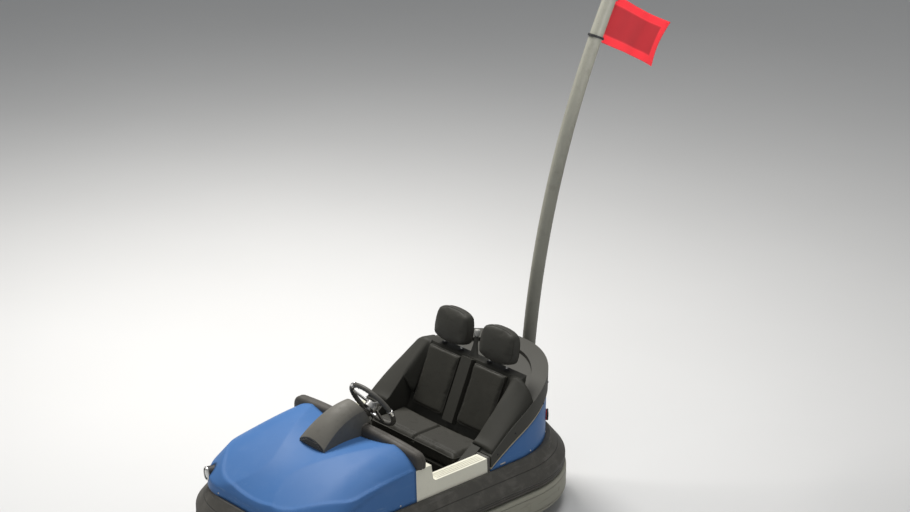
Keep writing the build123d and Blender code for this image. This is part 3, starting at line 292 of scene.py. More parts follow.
def coated_metal(name, deep, pale, rough=0.42, chips=(0.30, 0.29, 0.27), share=0.8, coat=0.15, grime=None):
    """Painted steel with dirt and small chips; grime is the pair of heights between which painted shade,
    darker towards the foot, fades out.
    """
    f = Finish(name, Coat_Weight=coat, Coat_Roughness=0.25, Specular_IOR_Level=0.3)
    dirt = f.step(f.cloud(18.0, 7.0, 0.68), 0.48, 0.74)
    chip = f.step(f.cloud(95.0, 4.0, 0.6), 0.69, 0.72)
    colour = f.coats(f.mix(f.cloud(6.0, 5.0), deep, pale), (dirt * 0.22, DIRT), (chip * share, chips))
    if grime:
        # Painted shade: below the grime heights the paint is darker, standing in for the light falling off
        # towards the foot.
        colour = f.mix((1.0 - f.step(f.axis("Z"), *grime)) * 0.62, colour, (0.10, 0.098, 0.085))
    f.feed(Base_Color=colour, Roughness=rough + dirt * 0.2 + chip * 0.1)
    return f.relief((f.cloud(260.0, 3.0), 0.00012), (1.0 - chip, 0.00012)).material


def bare_metal(name, tone, dark, rough=0.26):
    """Bright metal with fine brushing and a little grime."""
    f = Finish(name, IOR=1.5)
    brush = f.cloud(60.0, 6.0, 0.7, (6.0, 6.0, 6.0))
    grime = f.step(f.cloud(24.0, 7.0, 0.7), 0.52, 0.76)
    colour = f.coats(f.mix(brush, toned(tone, 0.8), tone), (grime * 0.5, dark))
    f.feed(Base_Color=colour, Metallic=1.0 - grime * 0.45, Roughness=rough + brush * 0.14 + grime * 0.28)
    return f.relief((brush, 0.00008)).material


def lens(name, deep, pale, ribs=260.0):
    """Moulded lamp lens with fine upright ribs."""
    f = Finish(name, IOR=1.49, Coat_Weight=0.6, Coat_Roughness=0.05)
    rib = (f.axis("Y") * ribs * 2.4).sine() * 0.5 + 0.5
    dust = f.step(f.cloud(40.0, 6.0, 0.66), 0.5, 0.8)
    colour = f.coats(f.mix(rib * 0.6, deep, pale), (dust * 0.2, (0.5, 0.48, 0.44)))
    f.feed(Base_Color=colour, Roughness=0.10 + dust * 0.25)
    return f.relief((rib, 0.0008)).material


def tyre_rubber(name):
    f = Finish(name, Specular_IOR_Level=0.35)
    dust = f.step(f.cloud(30.0, 7.0, 0.68), 0.45, 0.7)
    colour = f.mix(f.cloud(8.0), (0.020, 0.020, 0.020), (0.035, 0.034, 0.033))
    f.feed(Base_Color=f.mix(dust * 0.5, colour, (0.12, 0.11, 0.10)), Roughness=0.68 + dust * 0.2)
    return f.relief((f.cells(500.0), 0.0002), (f.cloud(90.0), 0.0004)).material


def floor_sheet(name):
    f = Finish(name)
    worn = f.step(f.cloud(7.0, 7.0, 0.66), 0.46, 0.7)
    colour = f.mix(f.cloud(12.0), (0.030, 0.030, 0.031), (0.055, 0.054, 0.052))
    f.feed(Base_Color=f.mix(worn * 0.35, colour, (0.16, 0.155, 0.15)), Roughness=0.55 + worn * 0.15)
    return f.relief((f.cloud(120.0, 5.0), 0.0003)).material


FLAG_SIZE = (0.452, 0.256)  # along the fly, and down the hoist
FLAG_BORDER = 0.046


def flag_cloth(name):
    """Woven cloth: a deeper red field inside a hemmed border painted brighter, a painted highlight where its
    pillowed edges catch the light.
    """
    f = Finish(name, Sheen_Weight=0.05, Sheen_Roughness=0.5, Specular_IOR_Level=0.15)
    cut = f.node("ShaderNodeUVMap", {"uv_map": "cut"})
    u, v = (f.node("ShaderNodeSeparateXYZ", None, {0: cut}, k) for k in (0, 1))
    from_fly = FLAG_SIZE[0] - u
    from_sides = FLAG_SIZE[1] / 2 - abs(v - FLAG_SIZE[1] / 2)
    edge = f.node("ShaderNodeMath", {"operation": "MINIMUM"}, {0: from_fly, 1: from_sides})
    blur, thread = 0.006, 0.0014
    hem_and_highlight = 1.0 - f.step(edge, FLAG_BORDER - blur, FLAG_BORDER + blur)
    stitch = f.line(edge, FLAG_BORDER - 0.005, thread) + f.line(edge, 0.006, thread)
    broken = f.step((u * 900.0).sine() * (v * 900.0).sine(), -0.5, 0.2)
    weave = 5200.0
    warp, weft = ((way * weave).sine() * 0.5 + 0.5 for way in (u, v))
    fade = f.cloud(7.0, 5.0, 0.6)
    field = f.mix(fade, (0.39, 0.022, 0.028), (0.47, 0.029, 0.036))
    # Painted highlight: the hem's red is brighter than the field, standing in for the light catching its
    # edges.
    bright = f.mix(fade, (0.88, 0.032, 0.044), (0.95, 0.040, 0.055))
    woven, sewn = (warp * weft * 0.10, (0.95, 0.16, 0.18)), (stitch * broken * 0.3, (0.80, 0.20, 0.20))
    colour = f.coats(field, (hem_and_highlight, bright), woven, sewn)
    f.feed(Base_Color=colour, Roughness=0.82 - hem_and_highlight * 0.08)
    return f.relief((warp * weft, 0.0003), (hem_and_highlight, 0.0008), (1.0 - stitch, 0.0006)).material


FINISHES = {
    "blue_paint": shell_paint(
        "blue body colour", deep=(0.061, 0.156, 0.370), pale=(0.074, 0.186, 0.430), scuff=(0.19, 0.31, 0.48)
    ),
    "dark_rubber": rubber(
        "dark roll rubber", (0.064, 0.061, 0.053), (0.086, 0.081, 0.071), (0.15, 0.143, 0.13),
        lines=(0.250, 0.262, 0.330), mark_share=0.30,
    ),
    "band_rubber": rubber(
        "light band rubber", (0.285, 0.278, 0.222), (0.36, 0.35, 0.285), (0.13, 0.125, 0.11),
        lines=(0.110, 0.196), mark_share=0.30, rough=0.55,
    ),
    "dash_vinyl": vinyl("dash vinyl", (0.118, 0.112, 0.096), (0.155, 0.147, 0.127), 0.0004, 0.60),
    "dark_plastic": moulding(
        "black plastic", (0.020, 0.020, 0.021), (0.036, 0.036, 0.037),
        grain=0.00018, rough=0.46, size=300.0, wear=(0.12, 0.12, 0.115),
    ),
    "cream_plastic": moulding(
        "cream sill plastic", (0.72, 0.70, 0.58), (0.85, 0.83, 0.71),
        grain=0.00008, rough=0.40, size=420.0, wear=(0.36, 0.34, 0.29), share=0.14, coat=0.10,
    ),
    "tan_trim": moulding("tan edge strip", (0.38, 0.335, 0.225), (0.48, 0.43, 0.30), 0.0001, 0.5, 500.0),
    "grey_plastic": moulding(
        "grey coaming plastic", (0.050, 0.0488, 0.0415), (0.068, 0.066, 0.057),
        grain=0.00022, rough=0.60, size=280.0, wear=(0.15, 0.146, 0.13), share=0.12,
    ),
    "seat_shell": tub_moulding("seat tub plastic", (0.034, 0.033, 0.0275), (0.044, 0.0425, 0.036)),
    "seat_vinyl": vinyl("seat vinyl", (0.026, 0.0248, 0.0195), (0.037, 0.0352, 0.028), 0.0005, 0.60),
    "headrest_vinyl": vinyl("headrest vinyl", (0.035, 0.0338, 0.028), (0.049, 0.0474, 0.040), 0.0004, 0.62),
    "frame_paint": coated_metal("frame paint", (0.040, 0.040, 0.042), (0.065, 0.065, 0.066)),
    "motor_paint": coated_metal("motor enamel", (0.110, 0.115, 0.120), (0.16, 0.165, 0.17)),
    # The mast's paint is darker towards its foot: painted shade.
    "mast_paint": coated_metal(
        "mast paint", (0.25, 0.246, 0.205), (0.31, 0.305, 0.255),
        rough=0.5, chips=(0.15, 0.145, 0.13), share=0.5, coat=0.05, grime=(0.50, 1.4),
    ),
    "floor_paint": floor_sheet("floor sheet"),
    "steel": bare_metal("bright steel", (0.62, 0.61, 0.59), (0.12, 0.11, 0.10)),
    "contact_brass": bare_metal("contact metal", (0.46, 0.33, 0.155), (0.12, 0.09, 0.05), 0.46),
    "cast_rim": bare_metal("cast wheel", (0.34, 0.34, 0.34), (0.07, 0.065, 0.06), 0.45),
    "clear_lens": lens("clear lens", (0.62, 0.63, 0.60), (0.90, 0.90, 0.86)),
    "red_lens": lens("red lens", (0.36, 0.010, 0.010), (0.62, 0.03, 0.025), 200.0),
    "tyre": tyre_rubber("tyre rubber"),
    "grip_rubber": rubber(
        "grip rubber", (0.066, 0.063, 0.056), (0.100, 0.096, 0.086), (0.13, 0.127, 0.12),
        mark_share=0.2, rough=0.44,
    ),
    "flag_cloth": flag_cloth("flag cloth"),
    # Finishes of pieces whose slot isn't in the record
    "bright_trim": bare_metal("bright trim", (0.78, 0.77, 0.75), (0.18, 0.16, 0.14), 0.16),
    "welt": vinyl("welt cord", (0.028, 0.0268, 0.022), (0.040, 0.038, 0.031), 0.0002, 0.62),
    "roll_vinyl": vinyl("roll vinyl", (0.060, 0.055, 0.048), (0.082, 0.076, 0.067), 0.0004, 0.62),
    "thread": moulding("thread", (0.16, 0.155, 0.145), (0.22, 0.215, 0.20), 0.0002, 0.7, 900.0),
    "light_plastic": moulding(
        "light grey plastic", (0.36, 0.355, 0.33), (0.46, 0.455, 0.43), 0.0001, 0.42, 420.0
    ),
}

slot_of = {part["node"]: part["material_slot"] for part in frame["record"]["subparts"]}
for name, piece in nodes.items():
    piece.data.materials.clear()
    piece.data.materials.append(FINISHES[slot_of[name]])
SLOTS = set(slot_of.values())


# ---------------------------------------------------------------- making pieces
def angles(count, start=0.0):
    """Angles evenly round a circle."""
    return [start + 2 * math.pi * k / count for k in range(count)]


def polar(radius, angle, height=0.0):
    return Vector((radius * math.cos(angle), radius * math.sin(angle), height))


def clamp(value, low, high):
    return min(max(value, low), high)


def extent(points):
    """The lowest and highest corners of a cloud of points."""
    return [Vector([pick(p[i] for p in points) for i in range(3)]) for pick in (min, max)]


def tilt(degrees, axis="Y"):
    return Matrix.Rotation(math.radians(degrees), 4, axis)


def facing(point, way):
    """Local Z along the way, at the point."""
    return Matrix.Translation(point) @ Vector(way).to_track_quat("Z", "Y").to_matrix().to_4x4()


def add_object(name, data):
    made = bpy.data.objects.new(name, data)
    bpy.context.collection.objects.link(made)
    return made


def dress(piece, body, finish, slot=None):
    """Give a piece a finish by name and the body it rides; the slot is looked up among the record's slots,
    but not given to the piece.
    """
    piece.data.materials.clear()
    piece.data.materials.append(FINISHES[finish])
    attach(piece, body)
    slot = slot or finish
    slot in SLOTS


def mesh_from(name, rows):
    bm = bmesh.new()
    rows(bm)
    bmesh.ops.recalc_face_normals(bm, faces=bm.faces)
    mesh = bpy.data.meshes.new(name)
    bm.to_mesh(mesh)
    bm.free()
    return mesh


def new_piece(name, rows, body, finish, angle=35):
    """A piece that rows(bm) builds, smooth but for edges sharper than the angle."""
    piece = add_object(name, mesh_from(name, rows))
    piece.data.shade_smooth()
    piece.data.set_sharp_from_angle(angle=math.radians(angle))
    dress(piece, body, finish)
    return piece


def join_rings(bm, low, high):
    """Faces between two closed rings of one count, or between a ring and a single point."""
    count = max(len(low), len(high))
    for k in range(count):
        j = (k + 1) % count
        if len(low) == 1:
            bm.faces.new((low[0], high[j], high[k]))
        elif len(high) == 1:
            bm.faces.new((low[k], low[j], high[0]))
        else:
            bm.faces.new((low[k], low[j], high[j], high[k]))


def sheet_into(bm, grid):
    """Add a sheet through a grid of points, and give back its corners in the same grid."""
    grid = [[bm.verts.new(spot) for spot in row] for row in grid]
    for a, b in zip(grid, grid[1:]):
        for k in range(len(a) - 1):
            bm.faces.new((a[k], b[k], b[k + 1], a[k + 1]))
    return grid


def turn_into(bm, profile, place, segments):
    """Add a body turned about the place's Z from (radius, height) points, closed where the radius is 0."""
    rings = []
    for radius, height in profile:
        spots = [polar(radius, a, height) for a in angles(segments if radius else 1)]
        rings.append([bm.verts.new(place @ spot) for spot in spots])
    for low, high in zip(rings, rings[1:]):
        join_rings(bm, low, high)


def turned(name, profile, places, body, finish, segments=32, angle=35):
    def rows(bm):
        for place in places:
            turn_into(bm, profile, place, segments)

    return new_piece(name, rows, body, finish, angle)


# Sections of heads, as shares of their radius and height
WASHER = ((0, 0), (1.75, 0), (1.85, 0.12), (1.75, 0.28), (0, 0.28))
HEXAGON = ((0, 0.28), (0.96, 0.28), (1, 0.34), (1, 0.86), (0.86, 1), (0, 1))
SCREW = ((0, 0.14), (0.30, 0.14), (0.36, 0.44), (0.60, 0.40), (0.85, 0.26), (1, 0.08), (1, 0))


def scaled(section, radius, height):
    return [(out * radius, up * height) for out, up in section]


def bolts(name, places, radius, body):
    """Hexagon heads on washers, of steel."""
    height = 1.15 * radius

    def rows(bm):
        for k, place in enumerate(places):
            turn_into(bm, scaled(WASHER, radius, height), place, 20)
            turn_into(bm, scaled(HEXAGON, radius, height), place @ Matrix.Rotation(0.7 * k, 4, "Z"), 6)

    return new_piece(name, rows, body, "steel", 30)


def screws(name, places, radius, body, finish):
    """Low domed heads with a driven recess."""
    return turned(name, scaled(SCREW, radius, radius), places, body, finish, 18, 40)


def cord_piece(name, points, radius, body, finish, closed=False):
    """Round cord or rod through points."""
    curve = bpy.data.curves.new(name, "CURVE")
    curve.dimensions = "3D"
    curve.bevel_depth = radius
    curve.bevel_resolution = 3
    curve.use_fill_caps = True
    curve.resolution_u = 3
    spline = curve.splines.new("NURBS")
    spline.points.add(len(points) - 1)
    for point, place in zip(spline.points, points):
        point.co = (*place, 1)
    spline.use_cyclic_u = closed
    spline.order_u = 3
    spline.use_endpoint_u = not closed
    piece = add_object(name, curve)
    dress(piece, body, finish)
    return piece


class Skin:
    """The surface of a piece, to set others on it."""

    def __init__(self, piece):
        self.tree = BVHTree.FromObject(piece, bpy.context.evaluated_depsgraph_get())

    def hit(self, start, way, sink=0.0):
        """The first point the ray meets, and the normal towards its start; None where it misses."""
        point, normal, _, _ = self.tree.ray_cast(Vector(start), Vector(way).normalized())
        if point is None:
            return None
        if normal.dot(Vector(way)) > 0:
            normal = -normal
        return point - normal * sink, normal

    def seats(self, rays, sink=0.0):
        """Places on the surface, local Z out of it, where (start, way) rays meet it."""
        found = [self.hit(start, way, sink) for start, way in rays]
        return [facing(*spot) for spot in found if spot]

    def near(self, point):
        place, normal, _, _ = self.tree.find_nearest(Vector(point))
        return place, normal


def spaced(points, pitch):
    """Which points of a closed row to take for an even pitch."""
    total = sum((b - a).length for a, b in zip(points, points[1:] + points[:1]))
    count = max(3, round(total / pitch))
    step, out, run, due = total / count, [], 0.0, 0.0
    for index, point in enumerate(points):
        if run >= due - 1e-9 and len(out) < count:
            out.append(index)
            due += step
        run += (points[(index + 1) % len(points)] - point).length
    return out


def loop_on(node, height):
    """Points and normals all round the outside of a node at one height."""
    skin, reach, out = Skin(nodes[node]), 2.0, []
    aim_middle, aim_half = -0.02, 0.42  # the line along the car that the rays aim at
    for a in angles(720):
        way = polar(1, a)
        aim = at(aim_middle + aim_half * math.cos(a), 0, height)
        found = skin.hit(aim + way * reach, -way)
        if found:
            out.append(found)
    return out


# ---------------------------------------------------------------- cloth and padding
def copied(node, name):
    mesh = nodes[node].data.copy()
    mesh.name = name
    return add_object(name, mesh)


@contextmanager
def welded(mesh):
    """A mesh opened for changes, its points that coincide made one."""
    bm = bmesh.new()
    bm.from_mesh(mesh)
    bmesh.ops.remove_doubles(bm, verts=bm.verts, dist=1e-5)
    yield bm
    bm.to_mesh(mesh)
    bm.free()


def separate(node, name, side):
    """A copy of the loose parts of a node's mesh that lie on one side of the car."""
    piece = copied(node, name)
    with welded(piece.data) as bm:
        left = set(bm.verts)
        drop = []
        while left:
            island, edge = set(), [next(iter(left))]
            while edge:
                vert = edge.pop()
                if vert not in island:
                    island.add(vert)
                    edge += [e.other_vert(vert) for e in vert.link_edges]
            left -= island
            centre = sum((v.co for v in island), Vector()) / len(island)
            if centre.y * side <= 0:
                drop += list(island)
        bmesh.ops.delete(bm, geom=drop, context="VERTS")
    return piece


def applied(piece):
    """The piece with its modifiers worked into its mesh."""
    graph = bpy.context.evaluated_depsgraph_get()
    mesh = bpy.data.meshes.new_from_object(piece.evaluated_get(graph))
    old = piece.data
    piece.modifiers.clear()
    piece.data = mesh
    bpy.data.meshes.remove(old)
    return piece


def thickened(piece, thickness):
    """The sheet with a thickness, half on either side of it."""
    solid = piece.modifiers.new("thick", "SOLIDIFY")
    solid.thickness = thickness
    solid.offset = 0
    return applied(piece)


SWELL_FRAMES = 20


def swell(piece, pressure, cap):
    """Blow a pad up as cloth under pressure, moving no point by more than the cap."""
    start = [v.co.copy() for v in piece.data.vertices]
    cloth = piece.modifiers.new("swell", "CLOTH")
    cloth.settings.use_pressure = True
    cloth.settings.uniform_pressure_force = pressure
    cloth.settings.effector_weights.gravity = 0
    cloth.settings.quality = 5
    cloth.settings.tension_stiffness = 40
    cloth.settings.compression_stiffness = 40
    cloth.settings.bending_stiffness = 8
    cloth.point_cache.frame_start = 1
    cloth.point_cache.frame_end = SWELL_FRAMES
    scene = bpy.context.scene
    for frame_number in range(1, SWELL_FRAMES + 1):
        scene.frame_set(frame_number)
    applied(piece)
    scene.frame_set(1)
    for v, first in zip(piece.data.vertices, start):
        move = v.co - first
        if move.length > cap:
            move *= cap / move.length
        v.co = first + move


def stuffed(piece, voxel, shrink, cap, limit=None, pressure=4.0):
    """Remesh a pad, swell it and smooth it; limit(point) holds a point in its room."""
    mesh = piece.data
    with welded(mesh) as bm:
        bmesh.ops.recalc_face_normals(bm, faces=bm.faces)
    low, high = extent([v.co for v in mesh.vertices])
    centre = (low + high) / 2
    scale = [max(0.5, 1 - 2 * shrink / max(high[i] - low[i], 1e-6)) for i in range(3)]
    for v in mesh.vertices:
        v.co = Vector([centre[i] + (v.co[i] - centre[i]) * scale[i] for i in range(3)])
    remesh = piece.modifiers.new("even", "REMESH")
    remesh.mode = "VOXEL"
    remesh.voxel_size = voxel
    applied(piece)
    swell(piece, pressure, cap)
    if limit:
        for v in piece.data.vertices:
            v.co = limit(v.co)
    smooth = piece.modifiers.new("soft", "SMOOTH")
    smooth.factor = 0.5
    smooth.iterations = 7
    subdivide = piece.modifiers.new("fine", "SUBSURF")
    subdivide.levels = subdivide.render_levels = 1
    return applied(piece)


def finish_pad(piece, finish, slot=None):
    piece.data.shade_smooth()
    dress(piece, "car", finish, slot)


def sink_seam(piece, depth, width, how_far):
    """Press a sewn line into a pad: how_far(point) is the distance from the line."""
    mesh = piece.data
    normals = [v.normal.copy() for v in mesh.vertices]
    for v, normal in zip(mesh.vertices, normals):
        gap = how_far(v.co)
        if gap < 3 * width:
            v.co = v.co - normal * depth * math.exp(-((gap / width) ** 2))


# ---------------------------------------------------------------- camera, light and floor
CAMERA = dict(place=(7.0636, 8.2484, 5.7827), azimuth=47.54, elevation=21.59, lens=93.41)
FLOOR_REACH, FLOOR_SQUARES = 30.0, 24
WORLD_COLOUR, WORLD_STRENGTH = (0.86, 0.88, 0.90, 1), 0.30


def set_camera():
    camera = bpy.data.cameras.new("camera")
    camera.lens = CAMERA["lens"]
    camera.sensor_width = 36
    camera.clip_end = 200
    azimuth, elevation = math.radians(CAMERA["azimuth"]), math.radians(CAMERA["elevation"])
    look = -polar(math.cos(elevation), azimuth, math.sin(elevation))
    holder = add_object("camera", camera)
    holder.location = at(*CAMERA["place"])
    holder.rotation_euler = look.to_track_quat("-Z", "Y").to_euler()
    bpy.context.scene.camera = holder


def soft_light(name, place, aim, size, power, colour=(1, 1, 1), spread=180):
    light = bpy.data.lights.new(name, "AREA")
    light.shape = "DISK"
    light.size = size
    light.energy = power
    light.color = colour
    light.spread = math.radians(spread)
    holder = add_object(name, light)
    holder.location = at(*place)
    holder.rotation_euler = (at(*aim) - at(*place)).to_track_quat("-Z", "Y").to_euler()


def set_studio():
    bpy.context.scene.view_settings.view_transform = "Standard"
    world = bpy.data.worlds.new("studio")
    bpy.context.scene.world = world
    world.use_nodes = True
    background = world.node_tree.nodes["Background"]
    background.inputs[0].default_value = WORLD_COLOUR
    background.inputs[1].default_value = WORLD_STRENGTH
    # Each light: its place, what it looks at, its size in metres, its power in watts and its colour
    soft_light("key", (-0.9, -3.1, 5.5), (0, 0, 0.5), 2.6, 370, (1.0, 0.98, 0.95))
    soft_light("front fill", (6.0, 3.4, 4.6), (0, 0, 0.8), 4.0, 56, (0.94, 0.97, 1.0))
    soft_light("top", (-1.2, 0.8, 6.0), (-0.4, 0, 0.8), 2.6, 100)
    flag = middle("flag") - Vector((ORIGIN_X, 0, 0))
    soft_light("flag light", flag + Vector((0.5, 2.6, 0.7)), flag, 0.9, 2.7, spread=36)

    def rows(bm):
        lines = [FLOOR_REACH * (2 * k / FLOOR_SQUARES - 1) for k in range(FLOOR_SQUARES + 1)]
        sheet_into(bm, [[(ORIGIN_X + x, y, 0) for y in lines] for x in lines])

    f = Finish("pale floor")
    drift = f.cloud(0.6, 4.0)
    f.feed(Base_Color=f.mix(drift, (0.66, 0.66, 0.655), (0.70, 0.70, 0.695)), Roughness=0.75 + drift * 0.1)
    floor = add_object("floor", mesh_from("floor", rows))
    floor.data.materials.append(f.material)
    floor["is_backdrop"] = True


set_camera()
set_studio()


# ---------------------------------------------------------------- flag
def make_flag():
    """Hung from two rings on the mast: concave at the fly, pointed at its corners and rippled by the air."""
    corners = {(round(v.co.x, 4), round(v.co.z, 4)) for v in nodes["flag"].data.vertices}
    corners = [Vector((x, 0, z)) for x, z in sorted(corners)]
    pairs = [(i, j) for i in range(len(corners)) for j in range(i + 1, len(corners))]
    ends = sorted(((corners[i] - corners[j]).length, i, j) for i, j in pairs)[:2]
    ends = [sorted((corners[i], corners[j]), key=lambda c: c.z) for _, i, j in ends]
    fly, hoist = sorted(ends, key=lambda pair: pair[0].x + pair[1].x)
    along = (fly[0] - hoist[0]).normalized()
    up = (hoist[1] - hoist[0]).normalized()
    length, height = FLAG_SIZE
    columns, lines = 84, 44
    hollow, waist = 0.020, 0.010

    def spot(u, v):
        reach = u * length - hollow * math.sin(math.pi * v) * u**3
        rise = (v - 0.5) * (height - 2 * waist * math.sin(math.pi * u) * u) + 0.5 * height
        ripple = 0.013 * math.sin(2 * math.pi * (1.15 * u + 0.12 * v))
        ripple += 0.005 * math.sin(2 * math.pi * (2.6 * u - 0.35 * v) + 1.0)
        curl = 0.010 * u**4 * (v - 0.5)
        return hoist[0] + along * reach + up * rise + Vector((0, u**0.7 * (ripple + curl), -0.006 * u * u))

    def rows(bm):
        cut = bm.loops.layers.uv.new("cut")
        shares = [[(i / columns, j / lines) for j in range(lines + 1)] for i in range(columns + 1)]
        grid = sheet_into(bm, [[spot(u, v) for u, v in row] for row in shares])
        flat = {}
        for verts, row in zip(grid, shares):
            flat.update({vert: (u * length, v * height) for vert, (u, v) in zip(verts, row)})
        for face in bm.faces:
            for loop in face.loops:
                loop[cut].uv = flat[loop.vert]

    flag = thickened(new_piece("flag_sheet", rows, "car", "flag_cloth", 80), 0.0008)
    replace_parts(flag, "flag")
    # Eyelets and lashings hold the hoist to the rings.
    eyelet = [(0.0035, -0.0016), (0.0075, -0.0012), (0.0085, 0), (0.0075, 0.0012), (0.0035, 0.0016)]
    spots = [hoist[0] + up * (height * share) + along * 0.012 for share in (0.075, 0.925)]
    places = [facing(spot, (0, 1, 0)) for spot in spots]
    turned("flag_eyelets", eyelet + eyelet[:1], places, "car", "bright_trim", 20)
    # Each lashing goes back from the eyelet, round its ring and forward again: back, out and up.
    way_round = (
        (0.0, 0.0022, 0),
        (0.012, 0.006, 0.002),
        (0.030, 0.008, 0),
        (0.040, 0, 0),
        (0.030, -0.008, 0),
        (0.012, -0.006, 0.002),
        (0.0, -0.0022, 0),
    )
    for index, spot in enumerate(spots):
        ties = [spot - along * back + Vector((0, out, rise)) for back, out, rise in way_round]
        cord_piece("flag_lashing_%d" % index, ties, 0.0016, "car", "thread")


make_flag()


# ---------------------------------------------------------------- steering wheel
COLUMN_ANGLE = math.radians(31)
UP_COLUMN = Vector((-math.cos(COLUMN_ANGLE), 0, math.sin(COLUMN_ANGLE)))
WHEEL_CENTRE = at(0.079, 0, 0.704)
GRIP_RING, GRIP = 0.138, 0.013  # radius of the ring, and of its section
FINGERS = 40


def make_steering_wheel():
    place = facing(WHEEL_CENTRE, UP_COLUMN)
    spokes = angles(3, math.pi)

    def rows(bm):
        rings = []
        for a in angles(240):
            ring = []
            for b in angles(20):
                under = max(0.0, -math.sin(b))
                thick = GRIP * (1 + 0.055 * under * math.cos(FINGERS * a) - 0.03)
                spot = polar(GRIP_RING + thick * math.cos(b), a, thick * math.sin(b))
                ring.append(bm.verts.new(place @ spot))
            rings.append(ring)
        for ring, following in zip(rings, rings[1:] + rings[:1]):
            join_rings(bm, ring, following)

    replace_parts(new_piece("steering_ring", rows, "steering_wheel", "grip_rubber", 80), "steering_grip")
    # Hub cover with a raised rim and a plain middle.
    cover = [(0, 0.0095), (0.012, 0.0092), (0.0225, 0.0072), (0.0240, 0.0060), (0.0262, 0.0066)]
    cover += [(0.0285, 0.0060), (0.0318, 0.0028), (0.0325, 0), (0, 0)]
    turned("hub_cover", cover, [place], "steering_wheel", "dark_plastic", 40)
    spots = [place @ Matrix.Translation(polar(reach, a, 0.003)) for a in spokes for reach in (0.052, 0.108)]
    screws("spoke_screws", spots, 0.0042, "steering_wheel", "bright_trim")
    # Sleeves where the spokes enter the ring.
    sleeve = [(0.0125, -0.016), (0.0150, -0.014), (0.0152, 0.014), (0.0125, 0.016)]
    wraps = []
    for a in spokes:
        tangent = place.to_3x3() @ Vector((-math.sin(a), math.cos(a), 0))
        wraps.append(facing(place @ polar(GRIP_RING, a), tangent))
    turned("spoke_sleeves", sleeve, wraps, "steering_wheel", "bright_trim", 28)
    # Rubber bellows round the column.
    down = facing(WHEEL_CENTRE - UP_COLUMN * 0.046, -UP_COLUMN)
    bellows = [(0.0212, 0)]
    for k in range(5):
        wider, lower = 0.0022 * k, 0.0078 * k
        bellows += [(0.0275 + wider, 0.003 + lower), (0.0225 + wider, 0.0069 + lower)]
    bellows += [(0.040, 0.043), (0.0415, 0.046), (0.0205, 0.046), (0.0205, 0)]
    turned("column_bellows", bellows, [down], "car", "grip_rubber", 40, 50)


make_steering_wheel()


# ---------------------------------------------------------------- upholstery
def frame_at(origin, lean):
    """Local X out of the back, Z up it, leaning back by the angle in degrees."""
    return Matrix.Translation(origin) @ tilt(-lean)


BACK_FOOT = (-0.420, 0.356)  # foot of the seat back's face, along the car and up
BACK_RUN, BACK_RISE = 0.180, 0.402
SEAT_BACK = frame_at(at(BACK_FOOT[0], 0, BACK_FOOT[1]), math.degrees(math.atan2(BACK_RUN, BACK_RISE)))
HEADREST_SEAT = frame_at(at(-0.628, 0, 0.758), 12)
SEAT_PITCH = 0.346
SIDES = ((1, "left"), (-1, "right"))


def rounded_loop(width, height, radius, count=10):
    """Points round a rectangle with rounded corners, about its middle."""
    out = []
    for across, up, start in ((1, 1, 0), (-1, 1, 90), (-1, -1, 180), (1, -1, 270)):
        x, y = across * (width / 2 - radius), up * (height / 2 - radius)
        for k in range(count + 1):
            a = math.radians(start + 90 * k / count)
            out.append((x + radius * math.cos(a), y + radius * math.sin(a)))
    return out


def dense(points, pitch):
    """The closed row of points, with more between those far apart."""
    out = []
    for a, b in zip(points, points[1:] + points[:1]):
        steps = max(1, int((b - a).length / pitch))
        out += [a + (b - a) * (k / steps) for k in range(steps)]
    return out


def welt(name, pad, points, radius):
    """Cord sewn along a pad's edge, laid on its surface."""
    skin, pitch, proud, rounds = Skin(pad), 0.012, 0.35, 8
    laid = []
    for point in dense(points, pitch):
        spot, normal = skin.near(point)
        laid.append(spot + normal * radius * proud)
    for _ in range(rounds):
        laid = [(a + 2 * b + c) / 4 for a, b, c in zip(laid[-1:] + laid[:-1], laid, laid[1:] + laid[:1])]
    return cord_piece(name, laid, radius, "car", "welt", True)


def make_bench():
    low, high = corners_of("seat_cushion")

    def room(point):
        x = clamp(point.x, low.x + 0.001, high.x + 0.006)
        y = clamp(point.y, low.y - 0.003, high.y + 0.003)
        return Vector((x, y, clamp(point.z, low.z + 0.001, high.z + 0.010)))

    pad = stuffed(copied("seat_cushion", "bench_cushion"), voxel=0.006, shrink=0.004, cap=0.009, limit=room)
    front_seam = high.x - 0.046
    top = high.z - 0.030
    sink_seam(pad, depth=0.012, width=0.009, how_far=lambda p: abs(p.y) if p.z > top else 1)
    sink_seam(pad, depth=0.005, width=0.006, how_far=lambda p: abs(p.x - front_seam) if p.z > top else 1)
    finish_pad(pad, "seat_vinyl")
    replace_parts(pad, "seat_cushion")
    centre = (low + high) / 2
    size = high - low
    outline = rounded_loop(size.x - 0.006, size.y - 0.006, 0.03)
    loop = [Vector((centre.x + x, centre.y + y, high.z - 0.010)) for x, y in outline]
    welt("bench_welt", pad, loop, 0.0034)


def make_backs():
    low_edge, length, width, longer, inset = 0.092, 0.300, 0.246, 0.043, 0.010
    inward = SEAT_BACK.inverted()
    for side, name in SIDES:
        pad = separate("back_pads", "back_pad_" + name, side)
        middle_y = side * SEAT_PITCH / 2
        for vert in pad.data.vertices:
            spot = inward @ vert.co
            spot.z = low_edge + (spot.z - low_edge) * (length + longer) / length
            vert.co = SEAT_BACK @ spot

        def room(point):
            spot = inward @ point
            spot.x = clamp(spot.x, 0.0010, 0.040)
            spot.y = middle_y + clamp(spot.y - middle_y, -width / 2 - 0.004, width / 2 + 0.004)
            return SEAT_BACK @ spot

        pad = stuffed(pad, voxel=0.005, shrink=0.003, cap=0.007, limit=room)
        finish_pad(pad, "seat_vinyl")
        up = low_edge + length / 2 + longer / 2
        outline = rounded_loop(width - inset, length + longer - inset, 0.040)
        loop = [SEAT_BACK @ Vector((0.024, middle_y + y, up + z)) for y, z in outline]
        welt("back_welt_" + name, pad, loop, 0.0030)
        yield pad


